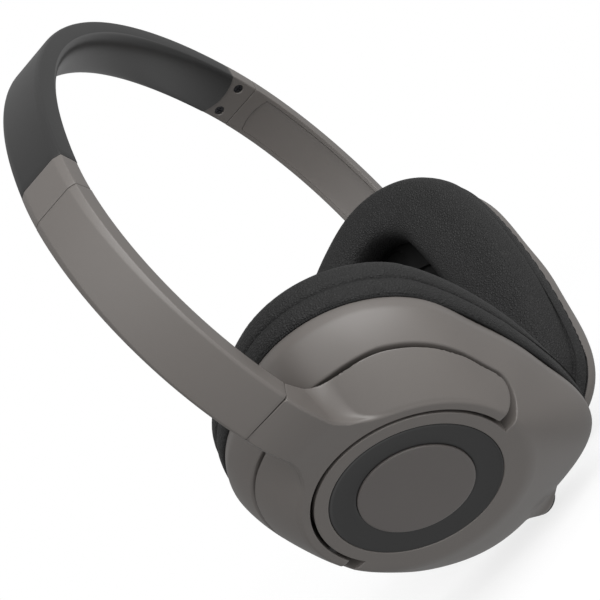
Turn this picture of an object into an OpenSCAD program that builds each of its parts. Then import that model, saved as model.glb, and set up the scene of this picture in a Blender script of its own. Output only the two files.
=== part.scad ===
// Over-ear headset: sprung headband, two sliding arms, two swivelling yokes
// and two closed, tilting ear cups with D-shaped cushions.
// Millimetres. +Z up, -Y is the wearer's front, +X is the wearer's left.
// Z = 0 is the underside of the head pad at the middle of the crown.
// Inside a cup: u runs to the back, v up the cup, w out of the cup's face.

/* [Headband] */
// Radius of the crown's outer face
crown_r = 115.9; // [112:0.1:120]
// Radius of the side arcs, followed by the arms
side_r = 61.9; // [61:0.1:63]
// Angle from the top at which the crown and its black shell end
shell_end_deg = 41.54; // [41:0.02:42]
// Angle from the top at which the end cap meets the arm
cap_end_deg = 51.4; // [51:0.1:53]
// Width of the band across the head
band_w = 14.2; // [13.6:0.1:16]
// Depth of the band's side walls
band_t = 5.8; // [5.6:0.1:6.6]
// Depth of the crown at its padded middle
crown_t = 7.0; // [6.8:0.1:8]
// Width of the bevel along both outer edges
bevel_w = 0.9; // [0.4:0.1:1.3]
// Depth of that bevel
bevel_t = 0.35; // [0.2:0.05:0.6]
// Thickness of the band's outer wall
skin_t = 1.3; // [1.1:0.1:1.4]
// Depth of the crown's side walls
crown_wall_t = 4.4; // [4:0.1:5]
// Thickness of the band's side walls
side_t = 1.3; // [1.1:0.1:1.5]
// Width of the spring steel strip
strip_w = 10.8; // [9.6:0.1:11]
// Thickness of the spring steel strip
strip_t = 0.8; // [0.5:0.1:0.9]
// Diameter of the wire that crosses the headband
wire_d = 0.8; // [0.6:0.1:0.9]
// Distance between the two cap screws
cap_screw_gap = 8.6; // [8:0.1:8.8]
// Head diameter of the cap screws
cap_screw_head_d = 2.7; // [2.2:0.1:3]
// Shank diameter of the cap screws
cap_screw_d = 1.4; // [1:0.1:1.6]

/* [Sliding arms] */
// Angle from the top at which the arm ends
arm_end_deg = 115.5; // [115:0.1:116.5]
// How far each arm pulls out
arm_travel = 15; // [10:0.5:15]
// Length of strip that stays inside the closed arm
tongue_len = 22; // [20:0.5:22.5]
// Depth of the arm's channel
channel_t = 3.2; // [3.15:0.05:3.4]
// Length of the closed collar at the arm's mouth
mouth_len = 6; // [5:0.5:7]
// Length of the solid block at the arm's end
end_block_len = 6.6; // [6.2:0.2:8]
// Number of detent holes
detent_count = 8; // [6:1:8]
// Diameter of a detent hole
detent_d = 1.2; // [0.9:0.1:1.4]
// Radius of the swivel pin
swivel_pin_r = 1.3; // [1.1:0.05:1.4]
// Length of the swivel pin
swivel_pin_len = 11; // [10:0.5:12]

/* [Cup] */
// Distance up the cup from the face's centre to the arm's end
neck_reach = 48.4; // [47:0.1:50]
// Height of the arm's end above the face
neck_rise = -0.3; // [-0.8:0.1:0.2]
// Lean of the cup face, outward and down
cup_lean = 39.8; // [39:0.1:40]
// Swivel at which the left cup stands
left_turn_deg = 3.6; // [-6:0.2:6]
// Depth of the rim behind the face
rim_depth = 20.5; // [20:0.1:22]
// Exponent of the dome's rounding
dome_power = 1.64; // [1.5:0.01:1.75]
// Radius of the flat land around the face disc
land_r = 27.7; // [27.3:0.1:28.5]
// Wall of the cup shell
shell_t = 2.2; // [1.9:0.1:2.4]
// Radius of the face disc
disc_r = 24.5; // [24:0.1:24.7]
// Outer radius of the dark ring let into the disc
accent_r = 21; // [20:0.1:21.6]
// Radius of the bare badge
badge_r = 14.2; // [12:0.1:15]
// Depth of the pocket for ring and badge
pocket_t = 1.2; // [1:0.1:1.4]
// Width of the groove between yoke and shell
groove_w = 0.8; // [0.7:0.05:1.2]
// Depth behind the face at which the yoke ends
yoke_depth = 9.4; // [9.2:0.1:10]
// Radius of the fillets where the neck's face widens
flare_r = 9; // [6:0.5:12]
// Depth of those fillets
flare_t = 3; // [2:0.2:3.6]
// Radius of the hollows beside the neck
cove_r = 4.5; // [3:0.5:6]
// Wall of the yoke
yoke_t = 2.2; // [1.8:0.1:2.6]
// Height of the tilt pivot on the cup
tilt_v = 1.6; // [1.2:0.1:2]
// Depth of the tilt pivot behind the face
tilt_w = -3.2; // [-3.4:0.1:-3.1]
// Radius of the yoke's rounded ends
yoke_end_r = 4.8; // [4.6:0.1:5]
// Radius of the tilt pins
tilt_pin_r = 1.5; // [1.2:0.05:1.7]
// Length of a tilt pin
tilt_pin_len = 8.4; // [7.6:0.2:8.8]

/* [Driver and cushion] */
// Thickness of the baffle
baffle_t = 2; // [1.8:0.1:2.4]
// Radius of the driver
driver_r = 20; // [18:0.5:20.5]
// Radius of the driver magnet
magnet_r = 9; // [7:0.5:11]
// Thickness of the driver magnet
magnet_t = 5; // [4:0.5:6]
// Thickness of the cushion's clip plate
clip_t = 1.2; // [1:0.1:1.6]
// Height of the cushion above the clip plate
cushion_h = 14.2; // [12:0.2:14.6]
// How far the cushion's lower end is drawn in towards the head
cushion_low_in = 2; // [1:0.2:3]
// Radius of the ear opening's upper end
ear_top_r = 12.5; // [11.5:0.5:13.5]
// Radius of the ear opening's lower end
ear_low_r = 12; // [11:0.5:13]
// Shank radius of the cup screws
cup_screw_r = 0.85; // [0.7:0.05:1]
// Head radius of the cup screws
cup_screw_head_r = 1.9; // [1.6:0.1:2.1]

/* [Jack] */
// Radius of the plug bore
jack_bore_r = 1.8; // [1.7:0.05:2]
// Length of the plug bore
jack_bore_len = 12; // [10:0.5:13]
// Outer radius of the socket
socket_r = 3; // [2.8:0.1:3.2]
// Radius of the boss around the socket
jack_boss_r = 4.8; // [4.6:0.1:5.2]
// Distance of the boss mouth below the face's centre
jack_reach = 49.7; // [49:0.1:52]

/* [Hidden] */
// Free play between parts that only need to go together
fit = 0.1;
// Running clearance of a pin in its bore
run = 0.06;
// Gap between parts that move past each other
gap = 0.3;
// Overlap that makes cuts go through
eps = 0.5;
// Thickness of the slices that a rounded form is stretched over
slice = 0.01;
band_z = crown_t;
crown_cz = band_z - crown_r;
side_cx = (crown_r - side_r) * sin(shell_end_deg);
side_cz = crown_cz + (crown_r - side_r) * cos(shell_end_deg);
arm_end = [side_cx + side_r * sin(arm_end_deg), side_cz + side_r * cos(arm_end_deg)];
swivel_at = [arm_end[0] - band_t / 2 * sin(arm_end_deg), 0, arm_end[1] - band_t / 2 * cos(arm_end_deg)];
cup_x = arm_end[0] - neck_reach * sin(cup_lean) - neck_rise * cos(cup_lean);
cup_z = arm_end[1] - neck_reach * cos(cup_lean) + neck_rise * sin(cup_lean);
channel_half = band_w / 2 - side_t;
crown_strip_t = skin_t + 3.5 * fit;
tongue_depth = skin_t + (channel_t - strip_t) / 2;
deg_per_mm = 180 / (PI * side_r);
tongue_end_deg = cap_end_deg + tongue_len * deg_per_mm;
wire_depth = tongue_depth + strip_t + fit + wire_d / 2;
wire_groove_t = skin_t + channel_t + 0.85;
wire_groove_half = wire_d / 2 + gap;
cap_mid_deg = (shell_end_deg + cap_end_deg) / 2;
strip_end_deg = shell_end_deg + 0.75 * (cap_end_deg - shell_end_deg) * side_r / crown_r;
mouth_end_deg = cap_end_deg + mouth_len * deg_per_mm;
block_deg = arm_end_deg - end_block_len * deg_per_mm;
disc_gap = 0.9;
yoke_bore_r = disc_r + disc_gap;
boss_in_r = disc_r - 2.5;
recess_w = -yoke_depth - groove_w;
floor_w = recess_w - 2.4;
yoke_taper_v = 27;
recess_widen = 1.7;
tilt_pin_in = 5.2;
face_top_t = 2.8;
dome_steps = [0, 0.08, 0.2, 0.34, 0.48, 0.62, 0.76, 0.88, 0.96, 1];
// Round lobes whose common outline is the cup's D shape: u, v, radius
lobes = [
    [5, 14.1, 29.8],
    [-6.4, 8.4, 30.2],
    [-6.2, -4, 30.9],
    [1.6, -7.7, 33.8],
    [12.6, -31.2, 20.2],
    [-7.2, -31, 23.4]
];
post_at = [[22, 22], [-22, 22], [22, -34], [-22, -32]];
pad_arc_n = 24;
ear_top = [1, 17];
ear_low = [1, -24];
baffle_w = -rim_depth + 0.1;
clip_w = -rim_depth - 0.1 - clip_t;
front_w = clip_w - cushion_h;
jack_u = 3.2;
socket_end_v = -jack_reach + 0.6 + jack_bore_len + 2.4;
wire_w = baffle_w + baffle_t + 3.2;
terminal_v = -driver_r + 2.5;
jack_w = baffle_w + baffle_t + jack_boss_r - 1.6;
mouth_r = jack_boss_r - 0.8;

taupe = [0.42, 0.40, 0.38];
black = [0.12, 0.12, 0.12];
steel = [0.70, 0.71, 0.73];

// ---------- frames ----------

// Sweeps a profile of radius and width along an arc in the band's plane,
// from one angle to another, both measured from the top towards +X.
module arc_sweep(cx, cz, from_deg, to_deg)
    translate([cx, 0, cz])
        rotate([90, 0, 0])
            rotate([0, 0, 90 - to_deg])
                rotate_extrude(angle = to_deg - from_deg, $fn = 180)
                    children();

// Places children, drawn for the left half, on either side.
module on_side(side)
    if (side > 0)
        children();
    else
        mirror([1, 0, 0])
            children();

// Turns children of the left side about the pin of that yoke.
module left_turn(side)
    translate(swivel_at)
        rotate(a = side > 0 ? left_turn_deg : 0, v = [cos(arm_end_deg), 0, -sin(arm_end_deg)])
            translate(-swivel_at)
                children();

// Frame of a cup: x is u, y is v and z is w.
module cup_frame(side)
    on_side(side)
        left_turn(side)
        multmatrix([
            [0, sin(cup_lean), cos(cup_lean), cup_x],
            [1, 0, 0, 0],
            [0, cos(cup_lean), -sin(cup_lean), cup_z],
            [0, 0, 0, 1]])
            children();

// Frame on the side arc: x is outward, z runs up along the band,
// with the origin on the outer face at an angle.
module arc_frame(angle)
    translate([side_cx + side_r * sin(angle), 0, side_cz + side_r * cos(angle)])
        rotate([0, angle - 90, 0])
            children();

// ---------- headband ----------

// Full section of the band at outer radius r, with its depth.
module band_section(r, depth)
    polygon([
        [r, -band_w / 2 + bevel_w],
        [r, band_w / 2 - bevel_w],
        [r - bevel_t, band_w / 2],
        [r - depth, band_w / 2],
        [r - depth, -band_w / 2],
        [r - bevel_t, -band_w / 2]
    ]);

// Rectangle of the section between two depths, half as wide as given.
module band_slot(r, from_t, to_t, half)
    translate([r - to_t, -half])
        square([to_t - from_t, 2 * half]);

module shell_section(r)
    difference() {
        band_section(r, crown_wall_t);
        band_slot(r, skin_t + fit, band_t + eps, channel_half);
    }

// Rounded inner pad with a plug between the walls and a groove for the wire.
module pad_section(r) {
    half = channel_half - fit / 2;
    difference() {
        union() {
            band_slot(r, crown_strip_t + strip_t + fit / 2, crown_wall_t + 1, half);
            polygon([for (i = [0 : pad_arc_n])
                let (a = 180 * i / pad_arc_n)
                [r - crown_wall_t - 0.05 - (crown_t - crown_wall_t - 0.05) * sin(a), band_w / 2 * cos(a)]]);
        }
        band_slot(r, skin_t, wire_depth + wire_d / 2 + fit, wire_d / 2 + fit);
    }
}

module headband_shell()
    color(black)
        arc_sweep(0, crown_cz, -shell_end_deg, shell_end_deg)
            shell_section(crown_r);

module headband_pad()
    color([0.10, 0.10, 0.10])
        arc_sweep(0, crown_cz, 0.1 - shell_end_deg, shell_end_deg - 0.1)
            pad_section(crown_r);

// Holes of the two cap screws, from the outer face inwards.
module cap_screw_holes(r)
    arc_frame(cap_mid_deg)
        for (y = [-1, 1])
            translate([-band_t, y * cap_screw_gap / 2, 0])
                rotate([0, 90, 0])
                    cylinder(r = r, h = band_t, $fn = 24);

// Spring steel of the crown, whose ends reach under the cap screws.
module spring_strip()
    color(steel)
        difference() {
            arc_sweep(0, crown_cz, -strip_end_deg, strip_end_deg)
                band_slot(crown_r, crown_strip_t, crown_strip_t + strip_t, strip_w / 2);
            for (side = [-1, 1])
                on_side(side)
                    cap_screw_holes(cap_screw_d / 2 + fit);
        }

// Steel tongue that the arm slides on, held by the cap screws.
module tongue(side)
    color(steel)
        on_side(side)
            difference() {
                arc_sweep(side_cx, side_cz, shell_end_deg + 1, tongue_end_deg)
                    band_slot(side_r, tongue_depth, tongue_depth + strip_t, strip_w / 2);
                cap_screw_holes(cap_screw_d / 2 + fit);
                for (i = [0 : detent_count - 1])
                    arc_frame(mouth_end_deg - 2 + i * arm_travel / detent_count * deg_per_mm)
                        translate([-band_t, -3.2, 0])
                            rotate([0, 90, 0])
                                cylinder(r = detent_d / 2, h = band_t, $fn = 24);
            }

module crossover_wire()
    color([0.55, 0.1, 0.1]) {
        arc_sweep(0, crown_cz, -shell_end_deg, shell_end_deg)
            translate([crown_r - wire_depth, 0])
                circle(d = wire_d, $fn = 16);
        for (side = [-1, 1])
            on_side(side) {
                arc_sweep(side_cx, side_cz, shell_end_deg, tongue_end_deg)
                    translate([side_r - wire_depth, 0])
                        circle(d = wire_d, $fn = 16);
                arc_frame(shell_end_deg)
                    translate([-wire_depth, 0, 0])
                        sphere(d = wire_d + 0.06, $fn = 16);
            }
    }

module end_cap(side)
    color(taupe)
        on_side(side)
            difference() {
                arc_sweep(side_cx, side_cz, shell_end_deg, cap_end_deg)
                    band_section(side_r, band_t);
                arc_sweep(side_cx, side_cz, shell_end_deg - 1, cap_end_deg + 1)
                    band_slot(side_r, skin_t + fit, wire_depth + wire_d / 2 + fit, channel_half);
                arc_frame(cap_mid_deg)
                    for (y = [-1, 1])
                        translate([0, y * cap_screw_gap / 2, 0])
                            rotate([0, -90, 0]) {
                                translate([0, 0, 0.6])
                                    cylinder(r = cap_screw_d / 2 + fit / 2, h = band_t, $fn = 24);
                                translate([0, 0, band_t - 1.2])
                                    cylinder(r = cap_screw_head_d / 2 + fit, h = 3, $fn = 32);
                            }
            }

module cap_screws(side)
    color([0.2, 0.2, 0.2])
        on_side(side)
            arc_frame(cap_mid_deg)
                for (y = [-1, 1])
                    translate([0, y * cap_screw_gap / 2, 0])
                        rotate([0, -90, 0]) {
                            translate([0, 0, 0.8])
                                cylinder(r = cap_screw_d / 2, h = band_t - 1.5, $fn = 24);
                            difference() {
                                translate([0, 0, band_t - 1.2])
                                    cylinder(r = cap_screw_head_d / 2, h = 0.8, $fn = 32);
                                translate([-0.9, -0.2, band_t - 0.7])
                                    cube([1.8, 0.4, 1]);
                                translate([-0.2, -0.9, band_t - 0.7])
                                    cube([0.4, 1.8, 1]);
                            }
                        }

// ---------- arms ----------

module swivel_axis()
    arc_frame(arm_end_deg)
        translate([-band_t / 2, 0, 0])
            children();

module arm_shell(side)
    color(taupe)
        on_side(side)
            difference() {
                arc_sweep(side_cx, side_cz, cap_end_deg + 0.1, arm_end_deg - gap * deg_per_mm)
                    band_section(side_r, band_t);
                arc_sweep(side_cx, side_cz, cap_end_deg - 1, block_deg)
                    band_slot(side_r, skin_t, skin_t + channel_t, channel_half);
                arc_sweep(side_cx, side_cz, cap_end_deg - 1, block_deg)
                    band_slot(side_r, skin_t, wire_groove_t, wire_groove_half);
                arc_sweep(side_cx, side_cz, mouth_end_deg, block_deg)
                    band_slot(side_r, skin_t, band_t + eps, channel_half);
                swivel_axis()
                    translate([0, 0, -1])
                        cylinder(r = swivel_pin_r, h = swivel_pin_len / 2 + 1, $fn = 32);
            }

module arm_cover(side)
    color(taupe)
        on_side(side)
            difference() {
                arc_sweep(side_cx, side_cz, mouth_end_deg + fit, block_deg - fit)
                    difference() {
                        band_slot(side_r, skin_t + channel_t, band_t, channel_half - fit / 2);
                        band_slot(side_r, skin_t, wire_groove_t, wire_groove_half);
                    }
                arc_frame(mouth_end_deg + 5)
                    translate([-skin_t - channel_t - 0.7, -4.6, -3.6])
                        cube([2, 2.9, 7.2]);
            }

module detent_spring(side)
    color(steel)
        on_side(side)
            arc_frame(mouth_end_deg + 5)
                translate([-skin_t - channel_t - 0.7, -4.5, -3.5]) {
                    translate([0.1, 0, 0])
                        cube([0.3, 2.7, 7]);
                    translate([0.2, 1.3, 3.5])
                        rotate([0, 90, 0])
                            cylinder(r1 = 0.7, r2 = 0.35, h = 0.6, $fn = 24);
                }

module arm_wire(side)
    color([0.55, 0.1, 0.1])
        on_side(side)
            arc_sweep(side_cx, side_cz,
                tongue_end_deg + (arm_travel + 1.5) * deg_per_mm, block_deg - 0.3)
                translate([side_r - wire_depth, 0])
                    circle(d = wire_d, $fn = 16);

module swivel_pin(side)
    color(steel)
        on_side(side)
            swivel_axis()
                translate([0, 0, -swivel_pin_len / 2])
                    cylinder(r = swivel_pin_r, h = swivel_pin_len, $fn = 32);

// ---------- cup outline ----------

// Discs of the outline at height w: full = 1 is the rim, 0 is the round land.
module outline_discs(full, inset, w)
    for (l = lobes)
        translate([full * l[0], full * l[1], w])
            cylinder(r = full * l[2] + (1 - full) * land_r - inset, h = slice, $fn = 40);

module flat_outline(inset, w, h)
    translate([0, 0, w])
        linear_extrude(height = h)
            hull()
                for (l = lobes)
                    translate([l[0], l[1]])
                        circle(r = l[2] - inset, $fn = 48);

// Rounded back of the cup, from the rim up to the flat land at w = 0.
module dome(inset)
    hull()
        for (x = dome_steps)
            outline_discs(1 - pow(x, dome_power), inset,
                -rim_depth + rim_depth * x - inset * x - slice);

module v_slab(from_v, to_v, from_w, to_w)
    translate([-60, from_v, from_w])
        cube([120, to_v - from_v, to_w - from_w]);

// Carries a side view of v and w right through the cup.
module along_u()
    rotate([90, 0, 90])
        translate([0, 0, -60])
            linear_extrude(height = 120)
                children();

module pivot_axis()
    translate([0, tilt_v, tilt_w])
        rotate([0, 90, 0])
            children();

// ---------- yoke ----------

// Side view of the neck that joins the arm to the ring of the yoke.
module neck(half)
    rotate([90, 0, 90])
        translate([0, 0, -half])
            linear_extrude(height = 2 * half)
                polygon(neck_line);

neck_dir = [-cos(arm_end_deg - 90 - cup_lean), -sin(arm_end_deg - 90 - cup_lean)];
neck_top = [neck_reach, neck_rise] + gap / 2 * neck_dir;
neck_in = [neck_dir[1], -neck_dir[0]] * -band_t;
neck_low = neck_top + [-abs(neck_in[0]), -abs(neck_in[1])];
neck_line = [
    neck_top,
    neck_top + 3.6 * neck_dir,
    neck_top + 7.6 * neck_dir + [0, -0.75],
    [36, 1.15],
    [31, 0.55],
    [land_r, 0.05],
    [yoke_bore_r, 0],
    [yoke_bore_r, -yoke_depth],
    [land_r + 4, -yoke_depth],
    [neck_low[0] - 6, neck_low[1] - 1.2],
    neck_low
];

module yoke_block()
    union() {
        intersection() {
            dome(0);
            union() {
                along_u()
                    polygon([
                        [tilt_v, tilt_w - yoke_end_r],
                        [yoke_taper_v, -yoke_depth],
                        [60, -yoke_depth],
                        [60, 1],
                        [tilt_v, 1]
                    ]);
                pivot_axis()
                    translate([0, 0, -40])
                        cylinder(r = yoke_end_r, h = 80, $fn = 48);
            }
        }
        neck(band_w / 2);
        neck_flare();
        for (s = [-1, 1])
            for (i = [0, 1])
                hull() {
                    cove_plate(s, i);
                    cove_plate(s, i + 1);
                }
    }

// Fillets by which the neck's face widens into the land.
module neck_flare() {
    out = band_w / 2 + flare_r;
    up = sqrt(pow(land_r + flare_r, 2) - out * out);
    foot = land_r / (land_r + flare_r);
    translate([0, 0, -flare_t])
        linear_extrude(height = flare_t)
            difference() {
                polygon([
                    [-band_w / 2, up],
                    [band_w / 2, up],
                    [out * foot, up * foot],
                    [out * foot, up * foot - 4],
                    [-out * foot, up * foot - 4],
                    [-out * foot, up * foot]
                ]);
                for (s = [-1, 1])
                    translate([s * out, up])
                        circle(r = flare_r, $fn = 96);
            }
}

// Upright plate of the hollow fillet beside the neck, nearer or further out.
module cove_plate(s, i) {
    out = [0, 0.22, 1][i];
    drop = [0, 0.62, 1][i];
    translate([s * (band_w / 2 - 0.02 + out * cove_r) - slice / 2, 0, 0])
        rotate([90, 0, 90])
            linear_extrude(height = slice)
                polygon([
                    [land_r - 1, -yoke_depth],
                    [land_r + 9.2 - 0.6 * i, -yoke_depth],
                    [land_r + 9.2 - 1.2 * i, -yoke_depth + 1],
                    [land_r + 1 + 2 * (1 - drop), -1.2 - cove_r * drop * 0.55],
                    [land_r - 1, -1.2 - cove_r * drop * 0.55]
                ]);
}

module yoke(side)
    color(taupe)
        cup_frame(side)
            difference() {
                yoke_block();
                translate([0, 0, -30])
                    cylinder(r = yoke_bore_r, h = 60, $fn = 90);
                intersection() {
                    dome(yoke_t);
                    difference() {
                        v_slab(tilt_v + 9, 60, -30, 1);
                        translate([0, 0, -40])
                            cylinder(r = yoke_bore_r + 2, h = 60, $fn = 90);
                        v_slab(28, 60, -30, -1);
                    }
                }
                pivot_axis()
                    for (s = [-1, 1])
                        translate([0, 0, s > 0 ? disc_r - 2 : -disc_r + tilt_pin_in - tilt_pin_len - fit])
                            cylinder(r = tilt_pin_r, h = tilt_pin_len - tilt_pin_in + fit + 2, $fn = 32);
                multmatrix(arm_to_cup)
                    swivel_axis()
                        translate([0, 0, -swivel_pin_len / 2 - 0.2])
                            cylinder(r = swivel_pin_r + run, h = swivel_pin_len / 2 + 1, $fn = 32);
            }

// Inverse of the cup frame, for what is drawn in the band's frame.
arm_to_cup = [
    [0, 1, 0, 0],
    [sin(cup_lean), 0, cos(cup_lean), -cup_x * sin(cup_lean) - cup_z * cos(cup_lean)],
    [cos(cup_lean), 0, -sin(cup_lean), -cup_x * cos(cup_lean) + cup_z * sin(cup_lean)],
    [0, 0, 0, 1]
];

module tilt_pins(side)
    color(steel)
        cup_frame(side)
            pivot_axis()
                for (s = [-1, 1])
                    translate([0, 0, s > 0 ? disc_r - tilt_pin_in : -disc_r + tilt_pin_in - tilt_pin_len])
                        cylinder(r = tilt_pin_r, h = tilt_pin_len, $fn = 32);

// ---------- cup ----------

// Space that the yoke lies in: the upper half above the recess floor.
module yoke_recess()
    difference() {
        along_u()
            polygon(concat(
                [[80, 10], [80, recess_w], [yoke_taper_v, recess_w]],
                [for (a = [0 : 12 : 108])
                    let (r = yoke_end_r + groove_w + recess_widen * pow(a / 96, 2))
                    [tilt_v - r * sin(a), tilt_w - r * cos(a)]],
                [[tilt_v - yoke_end_r - groove_w - 2 * recess_widen, 10]]
            ));
        translate([0, 0, -40])
            cylinder(r = disc_r, h = 60, $fn = 90);
    }

module cup_cavity() {
    intersection() {
        dome(shell_t);
        union() {
            v_slab(-80, 80, -rim_depth - eps, floor_w);
            v_slab(-80, tilt_v - yoke_end_r - 6.4, -rim_depth - eps, -face_top_t);
        }
    }
    translate([0, 0, -rim_depth - eps])
        cylinder(r = boss_in_r, h = rim_depth + eps - face_top_t, $fn = 90);
    translate([0, 0, -rim_depth - 1])
        flat_cut();
}

// Opens the rim down to its front edge.
module flat_cut()
    linear_extrude(height = 1.5)
        hull()
            for (l = lobes)
                translate([l[0], l[1]])
                    circle(r = l[2] - shell_t, $fn = 48);

module post_tops(r, from_w)
    for (p = post_at)
        translate([p[0], p[1], from_w])
            cylinder(r = r, h = (p[1] > 0 ? floor_w + 1 : -9.5) - from_w, $fn = 24);

module jack_axis()
    translate([jack_u, -jack_reach, jack_w])
        rotate([-90, 0, 0])
            children();

module cup_shell(side)
    color(taupe)
        cup_frame(side)
            difference() {
                union() {
                    difference() {
                        dome(0);
                        yoke_recess();
                        cup_cavity();
                    }
                    post_tops(2.6, baffle_w + baffle_t);
                    for (s = [-1, 1])
                        translate([s > 0 ? disc_r - 5 : -boss_in_r - 0.5, tilt_v - 2.8, tilt_w - 2.8])
                            cube([5 - 2, 5.6, 4.5]);
                    if (side > 0)
                        jack_axis()
                            cylinder(r = jack_boss_r, h = jack_bore_len + 2, $fn = 64);
                }
                difference() {
                    translate([0, 0, -pocket_t])
                        cylinder(r = accent_r + fit / 2, h = 3, $fn = 90);
                    translate([0, 0, -pocket_t - 1])
                        cylinder(r = 1, h = 1, $fn = 24);
                }
                pivot_axis()
                    for (s = [-1, 1])
                        translate([0, 0, s > 0 ? disc_r - tilt_pin_in - 0.2 : -disc_r - 2])
                            cylinder(r = tilt_pin_r + run, h = 7.4, $fn = 32);
                for (p = post_at)
                    translate([p[0], p[1], baffle_w])
                        cylinder(r = cup_screw_r + run, h = 5.6, $fn = 24);
                if (side > 0)
                    jack_axis() {
                        translate([0, 0, -1])
                            cylinder(r = socket_r + fit, h = jack_bore_len + 8, $fn = 64);
                        translate([0, 0, -12])
                            cylinder(r = mouth_r, h = 12, $fn = 64);
                    }
            }

module accent_ring(side)
    color([0.15, 0.15, 0.15])
        cup_frame(side)
            translate([0, 0, -pocket_t])
                rotate_extrude($fn = 120)
                    polygon([
                        [badge_r + fit / 2, 0],
                        [accent_r, 0],
                        [accent_r, pocket_t - 0.1],
                        [accent_r - 1, pocket_t - 0.35],
                        [badge_r + 0.8, pocket_t - 0.7],
                        [badge_r + fit / 2, pocket_t - 0.7]
                    ]);

module badge_cap(side)
    color(taupe)
        cup_frame(side)
            translate([0, 0, -pocket_t])
                rotate_extrude($fn = 96)
                    polygon([
                        [0, 0],
                        [badge_r, 0],
                        [badge_r, pocket_t - 0.15],
                        [badge_r - 0.25, pocket_t + 0.1],
                        [0, pocket_t + 0.1]
                    ]);

module baffle(side)
    color([0.14, 0.14, 0.14])
        cup_frame(side)
            difference() {
                intersection() {
                    dome(shell_t + fit);
                    v_slab(-80, 80, baffle_w, baffle_w + baffle_t);
                }
                translate([0, 0, -rim_depth - 1])
                    cylinder(r = driver_r - 1, h = 5, $fn = 90);
                if (side > 0)
                    jack_axis()
                        translate([0, 0, -12])
                            cylinder(r = jack_boss_r + fit, h = jack_bore_len + 17, $fn = 64);
                for (p = post_at)
                    translate([p[0], p[1], -rim_depth - 1]) {
                        cylinder(r = cup_screw_r + fit, h = 5, $fn = 24);
                        cylinder(r = cup_screw_head_r + fit, h = 2.1, $fn = 32);
                    }
            }

module cup_screws(side)
    color(steel)
        cup_frame(side)
            for (p = post_at)
                translate([p[0], p[1], baffle_w + 0.1]) {
                    difference() {
                        cylinder(r = cup_screw_head_r, h = 0.9, $fn = 32);
                        translate([-1.2, -0.25, -0.5])
                            cube([2.4, 0.5, 0.9]);
                        translate([-0.25, -1.2, -0.5])
                            cube([0.5, 2.4, 0.9]);
                    }
                    cylinder(r = cup_screw_r, h = 5, $fn = 24);
                }

module driver_basket(side)
    color([0.2, 0.2, 0.2])
        cup_frame(side)
            translate([0, 0, baffle_w + baffle_t])
                difference() {
                    rotate_extrude($fn = 96)
                        polygon([
                            [driver_r - 2, 0],
                            [driver_r, 0],
                            [driver_r, 1.6],
                            [driver_r - 3, 2.4],
                            [magnet_r + 1.5, 5.6],
                            [0, 5.6],
                            [0, 4.4],
                            [magnet_r + 1, 4.4],
                            [driver_r - 3.6, 1.4]
                        ]);
                    for (a = [0 : 60 : 300])
                        rotate([0, 0, a])
                            translate([(driver_r + magnet_r) / 2 - 0.5, 0, 0])
                                cylinder(r = 1.6, h = 8, $fn = 24);
                }

module driver_magnet(side)
    color(steel)
        cup_frame(side)
            translate([0, 0, baffle_w + baffle_t + 5.6])
                cylinder(r = magnet_r, h = magnet_t, $fn = 72);

module voice_coil(side)
    color([0.72, 0.45, 0.2])
        cup_frame(side)
            translate([0, 0, baffle_w + baffle_t + 0.75])
                difference() {
                    cylinder(r = magnet_r - 1, h = 3.2, $fn = 72);
                    translate([0, 0, -1])
                        cylinder(r = magnet_r - 1.5, h = 6, $fn = 72);
                }

module diaphragm(side)
    color([0.75, 0.75, 0.72])
        cup_frame(side)
            translate([0, 0, baffle_w + baffle_t])
                rotate_extrude($fn = 96)
                    polygon([
                        [driver_r - 2.45, 0],
                        [driver_r - 2.45, 0.3],
                        [magnet_r + 2, 0.9],
                        [magnet_r - 0.5, 0.45],
                        [magnet_r - 1.8, 0.45],
                        [magnet_r / 2, 0.1],
                        [0, -0.1],
                        [0, -0.4],
                        [magnet_r / 2, -0.2],
                        [magnet_r - 1.8, 0.15],
                        [magnet_r - 0.5, 0.15],
                        [magnet_r + 2, 0.6]
                    ]);

module driver_grille(side)
    color([0.1, 0.1, 0.1])
        cup_frame(side)
            translate([0, 0, baffle_w])
                difference() {
                    cylinder(r = driver_r - 1 - fit, h = 0.9, $fn = 90);
                    for (ring = [1 : 3])
                        for (i = [0 : 6 * ring - 1])
                            rotate([0, 0, i * 60 / ring])
                                translate([ring * 5, 0, -1])
                                    cylinder(r = 1.1, h = 3, $fn = 18);
                }

// Path of round wire through a list of points.
module wire_path(points, r)
    for (i = [0 : len(points) - 2])
        let (d = points[i + 1] - points[i], l = norm(d))
        translate(points[i]) {
            sphere(r = r, $fn = 12);
            rotate([0, acos(d[2] / l), atan2(d[1], d[0])])
                cylinder(r = r, h = l, $fn = 12);
        }

module driver_wires(side)
    color([0.55, 0.1, 0.1])
        cup_frame(side)
            for (s = [-1, 1])
                wire_path(side > 0
                    ? [[jack_u + s * 1.2, socket_end_v + wire_d / 2 + 0.05, jack_w], [s * 6, terminal_v, wire_w]]
                    : [[s * 3 - 12, 29, wire_w + 0.8], [s * 6, -terminal_v, wire_w]], wire_d / 2);

// ---------- cushion ----------

module ear_hole(grow, w, h)
    translate([0, 0, w]) {
        translate(ear_top)
            cylinder(r = ear_top_r + grow, h = h, $fn = 40);
        translate(ear_low)
            cylinder(r = ear_low_r + grow, h = h, $fn = 40);
    }

module cushion_ring(side)
    color([0.14, 0.14, 0.14])
        cup_frame(side)
            difference() {
                flat_outline(1.5, clip_w, clip_t);
                translate([0, 0, -40])
                    cylinder(r = driver_r + 1.5, h = 40, $fn = 90);
                for (p = [[1, driver_r + 7], [1, -driver_r - 10]])
                    translate([p[0], p[1], -40])
                        cylinder(r = 5, h = 40, $fn = 40);
            }

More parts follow.
